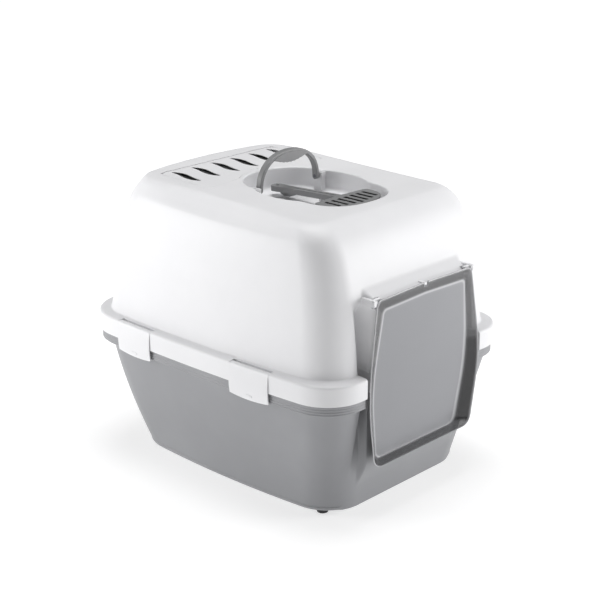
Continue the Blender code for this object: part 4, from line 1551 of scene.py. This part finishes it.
@dataclass
class Flap:
    """The see-through flap: a pane set back in a dish whose wall flares out to a thick edge."""

    axis_y: float = FLAP_Y
    axis_z: float = FLAP_Z
    thick: float = 2.2 * MM
    arch: float = 3 * MM
    edge: float = 1.1 * MM

    RIM = np.array([(118, 89.7, -288.3), (137, 209.5, -290), (113.5, 358, -284.5)]) * MM
    PANE = np.array([(96, 94, -269.7), (115, 214, -276), (97.6, 340, -282.6)]) * MM
    RIM_RADII = (12 * MM, 330 * MM, 20 * MM)
    PANE_RADII = (8 * MM, 330 * MM, 14 * MM)
    # Height below which the flange's sides get painted shade.
    BAND_SHADE = 236 * MM

    def outline(self, levels: Array, radii: Point) -> Array:
        """One outline of the dish in space: X, the depth Y read between its levels, and Z.

        Args:
            levels: Half width, height and depth at the foot, the middle and the top.
            radii: The corners' radii, from the top down.

        Returns:
            The points, one row each.
        """
        bottom, middle, top = (tuple(level[:2]) for level in levels)
        flat = six_sided(top, middle, bottom, radii, self.arch, 14)
        depth = np.interp(flat[:, 1], levels[:, 1], levels[:, 2])
        return np.column_stack([flat[:, 0], depth, flat[:, 1]])

    def build(self, finish: bpy.types.Material) -> None:
        """Makes the flap, whose attributes mark its flange, painted highlights and painted shade for its
        material, and fits it out.

        A share t runs from the pane's border (0) to the rim (1). The depth follows (t + sqrt(t t + b b)) / 2,
        where b is bend, so that the pane turns into the wall on a small radius. Negative t lies on the pane.

        Args:
            finish: The smoked plastic.
        """
        pane, rim = self.outline(self.PANE, self.PANE_RADII), self.outline(self.RIM, self.RIM_RADII)
        centre = np.array([0, 0, 214 * MM])
        steps = np.array([-0.30, -0.16, -0.09, -0.04, 0.0, 0.04, 0.09, 0.16, 0.3, 0.5, 0.7, 0.85, 0.94, 1.0])
        bend = 0.07
        rows, edges, flanges = [], [], []
        for scale in (0.02, 0.35, 0.7, 0.86):
            row = centre + (pane - centre) * scale
            row[:, 1] = np.interp(row[:, 2], self.PANE[:, 1], self.PANE[:, 2])
            rows.append(row)
            edges.append(0.0)
            flanges.append(0.0)
        for t in steps:
            row = pane + (rim - pane) * t
            turn = (t + math.sqrt(t * t + bend * bend)) / 2
            floor = np.interp(row[:, 2], self.PANE[:, 1], self.PANE[:, 2])
            level = pane[:, 1] + (rim[:, 1] - pane[:, 1]) * turn
            row[:, 1] = level if t > 0 else floor + (rim[:, 1] - pane[:, 1]) * turn
            rows.append(row)
            # Marks where the painted highlight goes: along the pane's border and the rim.
            edges.append(math.exp(-((t / 0.10) ** 2)) + math.exp(-(((1 - t) / 0.07) ** 2)))
            flanges.append(float(ease(np.array((t - 0.05) / 0.15))))
        outward = rim - centre
        outward[:, 1] = 0
        outward /= np.linalg.norm(outward, axis=1)[:, None]
        lip = []
        for angle in np.linspace(0, math.pi, 7)[1:-1]:
            bulge = outward * self.edge * 0.9 * math.sin(angle)
            lip.append(rows[-1] + bulge + (0, self.thick * (1 - math.cos(angle)) / 2, 0))
        back = [row + (0, self.thick, 0) for row in rows[::-1]]
        rings = np.stack(rows + lip + back)
        edge = np.array(edges + [1.0] * len(lip) + edges[::-1])
        flange = np.array(flanges + [1.0] * len(lip) + flanges[::-1])
        made = loft(rings).piece("flap_panel")
        count = rings.shape[1]
        # Marks where the painted shade goes: the flange's sides below the band.
        aside = ease((np.abs(pane[:, 0]) - 92 * MM) / (6 * MM))
        below = ease((self.BAND_SHADE + 1.5 * MM - rings[:, :, 2]) / (3 * MM))
        painted_shade = flange[:, None] * below * aside[None]
        marks = {"edge": np.repeat(edge, count), "flange": np.repeat(flange, count), "painted_shade": painted_shade.ravel()}
        for name, values in marks.items():
            attribute = made.data.attributes.new(name, "FLOAT", "POINT")
            attribute.data.foreach_set("value", values.astype(np.float32))
        low = (-5 * MM, self.axis_y - 10 * MM, self.axis_z - 3 * MM)
        high = (5 * MM, self.axis_y + 10 * MM, self.axis_z + 9 * MM)
        carve(made, "DIFFERENCE", cuboid(low, high, 1.5 * MM))
        shade(made, 50)
        fit_out(made, "flap", Slot.FLAP, finish, "flap")

    def build_hinges(self, finish: bpy.types.Material) -> None:
        """Makes the white hinge block at each top corner, with its ear and pin.

        Args:
            finish: The white plastic.
        """
        y, z = self.axis_y, self.axis_z
        for side in Side:
            sign = side.value
            span = sorted((sign * 101 * MM, sign * 114.2 * MM))
            block = cuboid((span[0], y + 1 * MM, z - 8 * MM), (span[1], y + 6 * MM, z + 3 * MM))
            made = block.piece(f"flap_hinge_block_{side.name.lower()}")
            span = sorted((sign * 113.7 * MM, sign * 115.7 * MM))
            ear = cuboid((span[0], y - 2.2 * MM, z - 2.6 * MM), (span[1], y + 6 * MM, z + 2.4 * MM))
            carve(made, "UNION", ear)
            profile = np.array([(1.8 * MM, 0), (1.8 * MM, 0.88), (1.3 * MM, 1)])
            carve(made, "UNION", turned(profile, (sign * 114.5 * MM, y, z), (sign * 121.8 * MM, y, z), 24))
            round_edges(made, 0.5 * MM, 2)
            shade(made)
            fit_out(made, "flap", Slot.HOOD, finish, f"flap_hinge_{side.name.lower()}")


@dataclass
class Handle:
    """The carry handle: an arch with a soft insert under its crown, on two pins in the well."""

    y: float = HANDLE_Y
    z: float = HANDLE_Z
    half: float = HANDLE_HALF
    rise: float = 57 * MM
    thick: float = 6.5 * MM
    wide: float = 11 * MM
    power: float = 2.25
    pin_radius: float = 3 * MM
    grip_depth: float = 13 * MM
    grip_from: float = 57.0

    def path(self, angles: Array, outer: float = 0.0) -> Array:
        """The arch as a superellipse, X against the height above the pins."""
        return oval(self.half + outer, self.rise - self.thick / 2 + outer, 0, self.power, angles)

    def build(self, finish: bpy.types.Material, pins: bpy.types.Material) -> None:
        """Makes the arch: a rounded rectangle carried along the path, whose ends narrow to round feet.

        Args:
            finish: The arch's plastic.
            pins: The pins' plastic.
        """
        line = self.path(np.linspace(0, math.pi, 73))
        drop = np.array([(0, -5.5), (0, -5.2), (0, -4.6), (0, -3.6), (0, -2)]) * MM
        line = np.concatenate([drop + (self.half, 0), line, drop[::-1] - (self.half, 0)])
        along = np.gradient(line, axis=0)
        along /= np.linalg.norm(along, axis=1)[:, None]
        out = np.stack([along[:, 1], -along[:, 0]], axis=1)
        corners = [(-1, -1), (1, -1), (1, 1), (-1, 1)]
        shape = [(u * self.thick / 2, v * self.wide / 2) for u, v in corners]
        section = rounded(shape, 1.7 * MM, 5)
        groove = 0.55 * MM * np.exp(-((section[:, 1] / (2.6 * MM)) ** 2))
        flesh = np.sign(section[:, 0]) * (np.abs(section[:, 0]) > 2.9 * MM) * groove
        end = np.minimum(line[:, 1] + 5.5 * MM, 5.5 * MM) / (5.5 * MM)
        taper = np.sqrt(np.clip(1 - (1 - end) ** 2, 0.05, 1))
        u = (section[:, 0] - flesh)[None] * np.ones_like(taper)[:, None]
        v = section[:, 1][None] * taper[:, None]
        x = line[:, :1] + out[:, :1] * u
        z = line[:, 1:] + out[:, 1:] * u + self.z
        made = loft(np.stack([x, v + self.y, z], axis=-1)).piece("handle_arch")
        bores = []
        for side in Side:
            ends = [(side.value * (self.half + reach), self.y, self.z) for reach in (-9 * MM, 9 * MM)]
            bores.append(rod(self.pin_radius + GAP, ends[0], ends[1], 28))
            ends = [(side.value * (self.half + reach), self.y, self.z) for reach in (-3.4 * MM, 12 * MM)]
            profile = np.array([(1.2, 0), (2.5, 0.02), (3, 0.06), (3, 0.95), (2.4, 1)]) * (MM, 1)
            pin = turned(profile, ends[0], ends[1], 28).piece(f"handle_pivot_{side.name.lower()}")
            shade(pin)
            fit_out(pin, "handle", Slot.TRIM, pins, f"handle_pin_{side.name.lower()}")
        carve(made, "DIFFERENCE", joined(bores))
        shade(made)
        fit_out(made, "handle", Slot.TRIM, finish, "handle")

    def build_grip(self, finish: bpy.types.Material) -> None:
        """Makes the insert: its top follows the arch, and its underside sags as a parabola, with finger ribs.

        Args:
            finish: The insert's plastic.
        """
        start = math.radians(self.grip_from)
        top = self.path(np.linspace(start, math.pi - start, 61), -0.15 * self.thick)
        share = top[:, 0] / top[0, 0]
        ribs = 0.35 * MM * np.cos(share * 9 * math.pi) * (1 - share**2)
        sag = (self.grip_depth + 2 * MM) * (1 - share**2) + 1 * MM + ribs
        under = top - np.stack([0 * share, sag], axis=1)
        outline = np.concatenate([top, under[::-1]])
        frame = Matrix.Translation((0, self.y, self.z)) @ Matrix.Rotation(math.pi / 2, 4, "X")
        grip = prism(outline, -self.wide / 2 - 1.5 * MM, self.wide / 2 + 1.5 * MM).placed(frame)
        made = grip.piece("grip_insert")
        round_edges(made, 1.3 * MM, 4, 50)
        shade(made)
        fit_out(made, "handle", Slot.GRIP, finish, "handle_grip")


@dataclass
class Scoop:
    """The litter scoop that lies in the well: a slotted blade, a grooved bar and a web under its tail."""

    top: float = 463.5 * MM
    half: float = 62 * MM
    neck: float = -107 * MM
    tip: float = -163 * MM
    tail: float = 40 * MM
    dip: float = 0.05
    slots: int = 7
    slot_pitch: float = 14.5 * MM
    slot_half: float = 4 * MM
    slot_front: float = -156 * MM
    slot_rear: float = -115.5 * MM
    hole_radius: float = 3.6 * MM

    def blade(self) -> Array:
        """The blade's outline: half a superellipse in front, and a rear edge that rises to the middle.

        Returns:
            The outline, one row a point.
        """
        rear = self.neck - 4 * MM
        front = oval(self.half, rear - self.tip, rear, 2.6, np.linspace(-math.pi / 2, 0, 30))
        back = [(self.half - 5 * MM, self.neck), (1 * MM, self.neck + 3 * MM)]
        return both_halves(np.concatenate([front, back]))

    def strip(self, x: float, half: float, front: float, rear: float, radius: float) -> Array:
        """A slot with round corners, along Y."""
        corners = [(x - half, front), (x + half, front), (x + half, rear), (x - half, rear)]
        return rounded(corners, radius, 5)

    def build(self, finish: bpy.types.Material) -> None:
        """Makes the scoop and fits it out.

        Args:
            finish: The scoop's plastic.
        """
        made = prism(self.blade(), self.top - 3 * MM, self.top).piece("litter_scoop")
        half, tail = 8 * MM, 10.5 * MM
        right = [
            (half, self.neck - 4 * MM, 1 * MM),
            (half, self.tail - 30 * MM, 12 * MM),
            (tail, self.tail - 18 * MM, 12 * MM),
            (tail, self.tail, 10 * MM),
        ]
        outline = rounded(right + [(-x, y, r) for x, y, r in reversed(right)], 2 * MM, 7)
        turn = Matrix.Rotation(-math.atan(self.dip), 4, "X")
        neck = Matrix.Translation((0, self.neck, self.top)) @ turn @ Matrix.Translation((0, -self.neck, 0))
        bar = prism(outline, -8.8 * MM, -0.2 * MM).placed(neck)
        carve(made, "UNION", bar)
        web = np.array([(-30, -10), (24, -12), (20, -19), (12, -22), (0, -21)]) * MM
        web = rounded([tuple(point) for point in web], 2.5 * MM, 5)
        on_edge = Matrix.Translation((0, 0, self.top)) @ Matrix.Rotation(math.pi / 2, 4, "Z")
        on_edge = on_edge @ Matrix.Rotation(math.pi / 2, 4, "X")
        carve(made, "UNION", prism(web, -2.5 * MM, 2.5 * MM).placed(on_edge))
        cuts = prism(self.strip(0, 1.5 * MM, -98 * MM, -8 * MM, 1 * MM), -2 * MM, 2 * MM).placed(neck)
        for index in range(self.slots):
            away = index - (self.slots - 1) / 2
            front = self.slot_front + 3 * abs(away) * MM
            outline = self.strip(away * self.slot_pitch, self.slot_half, front, self.slot_rear, 2 * MM)
            cuts = cuts + prism(outline, self.top - 6 * MM, self.top + 6 * MM)
        hang = (0, self.tail - 11 * MM, self.top)
        cuts = cuts + rod(self.hole_radius, np.add(hang, (0, 0, -20 * MM)), np.add(hang, (0, 0, 2 * MM)), 28)
        carve(made, "DIFFERENCE", cuts)
        round_edges(made, 0.6 * MM, 3, 45)
        shade(made)
        fit_out(made, "scoop", Slot.TRIM, finish, "scoop")


@dataclass
class VentCover:
    """The hinged cover over the filter, with six leaf-shaped slots, and the felt pad under it."""

    vent: Vent
    skin: float = 1.3 * MM

    def build(self, finish: bpy.types.Material) -> None:
        """Makes the cover, hollowed out over the pad so that its slots have thin edges, and fits it out.

        Args:
            finish: The white plastic.
        """
        vent = self.vent
        made = prism(vent.outline(), -vent.thick, 0).placed(ROOF).piece("vent_lid")
        cuts = [prism(vent.slot(index), -vent.thick - 3 * MM, 3 * MM) for index in range(vent.slots)]
        notch_corners = [(-9 * MM, 79 * MM), (9 * MM, 79 * MM), (9 * MM, 85 * MM), (-9 * MM, 85 * MM)]
        cuts.append(prism(rounded(notch_corners, 2.9 * MM, 6), -0.9 * MM, 3 * MM))
        sides = [(-129, 88), (129, 88), (127, 162), (-127, 162)]
        under = rounded([(x * MM, y * MM) for x, y in sides], 4 * MM)
        carve(made, "DIFFERENCE", prism(under, -vent.thick - 2 * MM, -self.skin).placed(ROOF))
        carve(made, "DIFFERENCE", joined(cuts).placed(ROOF))
        round_edges(made, 0.7 * MM, 3, 45)
        evaluated_mesh(made)
        carve(made, "UNION", vent.hinge(1.2 * MM, 22 * MM, 4.5 * MM))
        shade(made)
        fit_out(made, "vent_cover", Slot.HOOD, finish, "vent_cover")

    def build_filter(self, finish: bpy.types.Material) -> None:
        """Makes the felt pad: faces that swell as the root of (1 - u^6)(1 - v^6), with needled dimples.

        Args:
            finish: The felt.
        """
        vent = self.vent
        size_x, size_y, size_z = vent.filter_size
        u, v = np.meshgrid(np.linspace(-1, 1, 97), np.linspace(-1, 1, 33))
        swell = np.sqrt(np.clip((1 - u**6) * (1 - v**6), 0, 1))
        dimple = 0.25 * MM * np.cos(u * 60) * np.cos(v * 17)
        squeeze = 1 - 0.012 * v * v, 1 - 0.03 * u * u
        height = (size_z / 2 - 0.6 * MM) * (0.35 + 0.65 * swell) + dimple * swell
        x, y = u * squeeze[0] * size_x / 2, v * squeeze[1] * size_y / 2
        upper = np.stack([x, y, height], axis=-1)
        lower = np.stack([x, y, -height], axis=-1)
        count = u.size
        grid = np.arange(count).reshape(u.shape)
        quads = np.stack([grid[:-1, :-1], grid[:-1, 1:], grid[1:, 1:], grid[1:, :-1]], axis=-1).reshape(-1, 4)
        border = np.concatenate([grid[0, :-1], grid[:-1, -1], grid[-1, :0:-1], grid[:0:-1, 0]])
        after = np.roll(border, -1)
        sides = np.stack([border + count, after + count, after, border], axis=-1)
        faces = np.concatenate([quads, quads[:, ::-1] + count, sides])
        pad = Solid(np.concatenate([upper.reshape(-1, 3), lower.reshape(-1, 3)]), faces.tolist())
        place = ROOF @ Matrix.Translation((0, vent.filter_y, -vent.thick - 0.6 * MM - size_z / 2))
        made = pad.placed(place).piece("filter_pad")
        shade(made, 60)
        fit_out(made, "hood", Slot.FILTER, finish, "carbon_filter")


@dataclass
class Clips:
    """The four side clips: a knuckle on a rod above a bowed plate that reaches down over the tray's lip."""

    rim: Rim
    lip_bottom: float = LIP_BOTTOM
    knuckle: float = 3.6 * MM
    foot_rise: float = 3.4 * MM
    steps: int = 25

    def profile(self, rod_z: float) -> Array:
        """The section, X out of the band and Z up from the rod; the plate's two faces are parabolas.

        Args:
            rod_z: The rod's height.

        Returns:
            The outline, one row a point.
        """
        foot = self.lip_bottom - 4 * MM - rod_z
        share = np.linspace(0, 1, self.steps)
        bulge = 4 * share * (1 - share)
        z = 0.5 * MM + (foot - 0.5 * MM) * share
        outside = np.stack([(8.3 - 0.9 * share + 2.2 * bulge) * MM, z], axis=1)
        inside = np.stack([(4.6 + 0.9 * share + 2.6 * bulge) * MM, z], axis=1)[z < -2 * MM]
        inside[-1] = (5.5 * MM, foot + 0.8 * MM)
        crown = np.array([(0, 4.1), (5, 4.1), (6.4, 3.7), (7.4, 2.8)]) * MM
        angles = np.radians(-20 - 250 * np.linspace(0, 1, 15))
        knuckle = self.knuckle * np.stack([np.cos(angles), np.sin(angles)], axis=1)
        return np.concatenate([crown, outside, inside[::-1], knuckle])

    def build(self, finish: bpy.types.Material) -> None:
        """Makes the clips and their rods and fits them out.

        Args:
            finish: The white plastic.
        """
        for place in CLIPS:
            frame = place.frame(self.rim)
            half = place.length / 2
            across = frame @ Matrix.Rotation(math.pi / 2, 4, "X")
            body = f"clip_{place.name}"
            made = prism(self.profile(place.rod_z), -half, half).placed(across).piece(f"latch_{place.name}")
            reach = half + 5 * MM
            bore = rod(place.rod_radius + GAP, (0, -reach, 0), (0, reach, 0), 24)
            carve(made, "DIFFERENCE", bore.placed(frame))
            on_face = frame @ UPRIGHT
            foot = self.lip_bottom - 4 * MM - place.rod_z
            share = np.linspace(-1.05, 1.05, 33)
            under = np.stack([share * half, foot + self.foot_rise * share**2], axis=1)
            ends = np.array([(1.05 * half, foot - 5 * MM), (-1.05 * half, foot - 5 * MM)])
            carve(made, "DIFFERENCE", prism(np.concatenate([under, ends])[::-1], 0, 20 * MM).placed(on_face))
            low, high = foot + 5 * MM, foot + 9 * MM
            pad = rounded([(-7 * MM, low), (7 * MM, low), (7 * MM, high), (-7 * MM, high)], 1.9 * MM, 6)
            carve(made, "UNION", prism(pad, 7 * MM, 9.4 * MM).placed(on_face))
            round_edges(made, 0.6 * MM, 3, 40)
            shade(made)
            fit_out(made, body, Slot.HOOD, finish, body)
            profile = np.array([(1.1, 0), (1.5, 0.006), (1.5, 0.994), (1.1, 1)]) * (MM, 1)
            ends = [(0, sign * (half + 4 * MM), 0) for sign in (-1, 1)]
            axle = turned(profile, ends[0], ends[1], 20).placed(frame).piece(f"latch_rod_{place.name}")
            shade(axle)
            fit_out(axle, "hood", Slot.HOOD, finish, f"clip_rod_{place.name}")


@dataclass
class Feet:
    """The four rubber feet, turned, with a rounded edge and a shallow dish under them."""

    radius: float = 9 * MM
    height: float = 7.7 * MM

    def build(self, finish: bpy.types.Material) -> None:
        """Makes the feet and fits them out.

        Args:
            finish: The rubber.
        """
        turn = np.linspace(0, math.pi / 2, 6)
        edge = np.stack([self.radius - 1 * MM * (1 - np.sin(turn)), 0.13 * (1 - np.cos(turn))], axis=1)
        dish = np.array([(0.5 * MM, 0.06), (4 * MM, 0.06), (6 * MM, 0.0)])
        top = np.array([(self.radius + 1.5 * MM, 0.9), (self.radius + 1.1 * MM, 1.0)])
        profile = np.concatenate([dish, edge, top])
        for name in ("front_left", "front_right", "rear_left", "rear_right"):
            low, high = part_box(f"foot_{name}")
            middle = (low + high) / 2
            start, end = (middle.x, middle.y, 0.0), (middle.x, middle.y, self.height)
            made = turned(profile, start, end, 48).piece(f"rubber_foot_{name}")
            shade(made, 50)
            fit_out(made, "base", Slot.FOOT, finish, f"foot_{name}")


# ---------------------------------------------------------------- studio


@dataclass
class Studio:
    """The pale floor, the soft lights and the camera."""

    target: Point = (0.0, -21.2 * MM, 269.3 * MM)
    azimuth: float = -46.97
    elevation: float = 19.25
    distance: float = 2.4944
    lens: float = 90.58
    floor_radius: float = 14.0
    floor_glow: float = 0.64
    sky: float = 0.07

    def direction(self, azimuth: float, elevation: float) -> Vector:
        """The direction from the object to a place round it; azimuth 0 is in front."""
        a, e = math.radians(azimuth), math.radians(elevation)
        return Vector((math.sin(a) * math.cos(e), -math.cos(a) * math.cos(e), math.sin(e)))

    def place_camera(self) -> None:
        """Puts the camera where it sees the box as set out by its angles and distance."""
        back = self.direction(self.azimuth, self.elevation)
        data = bpy.data.cameras.new("camera")
        data.lens = self.lens
        data.clip_end = 50
        camera = bpy.data.objects.new("camera", data)
        camera.location = Vector(self.target) + back * self.distance
        camera.rotation_euler = back.to_track_quat("Z", "Y").to_euler()
        bpy.context.scene.collection.objects.link(camera)
        bpy.context.scene.camera = camera

    def light(
        self, name: str, azimuth: float, elevation: float, away: float, size: Pair, power: float
    ) -> None:
        """A soft rectangular light aimed at the object.

        Args:
            name: Its name.
            azimuth: Degrees round the object, from the front.
            elevation: Degrees up.
            away: Its distance.
            size: Its two sides.
            power: Its power in watts.
        """
        data = bpy.data.lights.new(name, "AREA")
        data.shape = "RECTANGLE"
        data.size, data.size_y = size
        data.energy = power
        lamp = bpy.data.objects.new(name, data)
        back = self.direction(azimuth, elevation)
        lamp.location = Vector(self.target) + back * away
        lamp.rotation_euler = back.to_track_quat("Z", "Y").to_euler()
        bpy.context.scene.collection.objects.link(lamp)

    def lay_floor(self) -> None:
        """A round white floor, swept up at its edge, that glows so that it stays pale far from the lights."""
        angle = np.linspace(0, 2 * math.pi, 96, endpoint=False)
        circle = np.stack([np.cos(angle), np.sin(angle), 0 * angle], axis=1)
        sweep = np.array([(0.9, 0.0), (0.96, 0.005), (0.99, 0.02), (1.0, 0.04), (1.0, 0.08)])
        sweep = sweep * self.floor_radius
        points = circle[None] * sweep[:, :1, None] + (0, 0, 1) * sweep[:, 1:, None]
        grid = np.arange(points.shape[0] * 96).reshape(-1, 96)
        after = np.roll(grid, -1, axis=1)
        quads = np.stack([grid[:-1], after[:-1], after[1:], grid[1:]], axis=-1).reshape(-1, 4)
        mesh = bpy.data.meshes.new("floor")
        mesh.from_pydata(points.reshape(-1, 3).tolist(), [], [grid[0].tolist()] + quads.tolist())
        floor = bpy.data.objects.new("floor", mesh)
        bpy.context.scene.collection.objects.link(floor)
        recipe = Recipe("floor_white")
        cloud = recipe.noise(300 * MM, 2.0)
        away = recipe.out(recipe.node("VectorMath", {"operation": "LENGTH"}, {"0": recipe.place()}), "Value")
        far, near = recipe.ramp(away, 0.35, 1.6), self.floor_glow
        inputs = {
            "Base Color": recipe.mix(cloud, (0.52, 0.52, 0.525), (0.54, 0.54, 0.54)),
            "Roughness": 0.8 + 0.1 * cloud,
            "Emission Color": recipe.mix(far, (near, near, near), (1.0, 1.0, 1.0)),
            "Emission Strength": 1.0,
            "Specular IOR Level": 0.1,
        }
        recipe.feed(recipe.shader, inputs)
        mesh.materials.append(recipe.material)

    def build(self) -> None:
        """Sets up everything round the object."""
        scene = bpy.context.scene
        scene.view_settings.view_transform = "Standard"
        world = bpy.data.worlds.new("studio")
        world.use_nodes = True
        backdrop = world.node_tree.nodes["Background"]
        backdrop.inputs["Color"].default_value = (1.0, 1.0, 1.0, 1.0)
        backdrop.inputs["Strength"].default_value = self.sky
        scene.world = world
        self.lay_floor()
        self.light("left_softbox", -132, 10, 2.0, (1.0, 1.3), 22)
        self.light("right_softbox", 42, 10, 2.1, (1.0, 1.3), 25)
        self.light("top_softbox", 120, 86, 2.0, (1.4, 1.4), 34)
        self.place_camera()


# ---------------------------------------------------------------- the whole box


def corners(bounds: tuple[Vector, Vector]) -> list[list[float]]:
    """A box's two corners as plain lists."""
    return [list(bounds[0]), list(bounds[1])]


def main() -> None:
    """Builds the studio, the materials and every sub-assembly."""
    logging.basicConfig(level=logging.INFO, format="%(message)s")
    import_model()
    Studio().build()
    white = MouldedPlastic("hood_white", (0.775, 0.775, 0.788), (0.745, 0.745, 0.76), 0.42).material()
    grey = MouldedPlastic("tray_grey", (0.285, 0.288, 0.301), (0.257, 0.26, 0.272), 0.46).material()
    trim_shade = (0.195, 0.197, 0.20)
    trim_colour = (0.225, 0.227, 0.232)
    trim = MouldedPlastic("trim_grey", trim_colour, trim_shade, 0.42, 0.5 * MM, 0.03 * MM).material()
    # The box over the scoop's slots, whose walls get painted shade.
    slots = ((-53 * MM, -157.5 * MM, 400 * MM), (53 * MM, -114 * MM, 462.9 * MM))
    scoop_colour, scoop_shade = (0.25, 0.252, 0.257), (0.215, 0.217, 0.22)
    scoop = MouldedPlastic("scoop_grey", scoop_colour, scoop_shade, 0.42, 0.5 * MM, painted_slot_shade=slots)
    grip_shade = (0.235, 0.235, 0.24)
    soft = MouldedPlastic("grip_grey", (0.285, 0.285, 0.29), grip_shade, 0.58, 0.8 * MM, 0.09 * MM).material()
    pins = MouldedPlastic("pin_grey", (0.13, 0.13, 0.15), (0.10, 0.10, 0.12), 0.35, 0.4 * MM).material()
    rim, porch, well, vent = Rim(), Porch(), Well(), Vent()
    Hood(rim, porch, well, vent).build(white)
    Tray(rim, porch).build(grey)
    flap = Flap()
    flap.build(SmokedPlastic().material())
    flap.build_hinges(white)
    handle = Handle()
    handle.build(trim, pins)
    handle.build_grip(soft)
    Scoop().build(scoop.material())
    cover = VentCover(vent)
    cover.build(white)
    cover.build_filter(CarbonFelt().material())
    Clips(rim).build(white)
    Feet().build(SoftRubber().material())


if __name__ == "__main__":
    main()
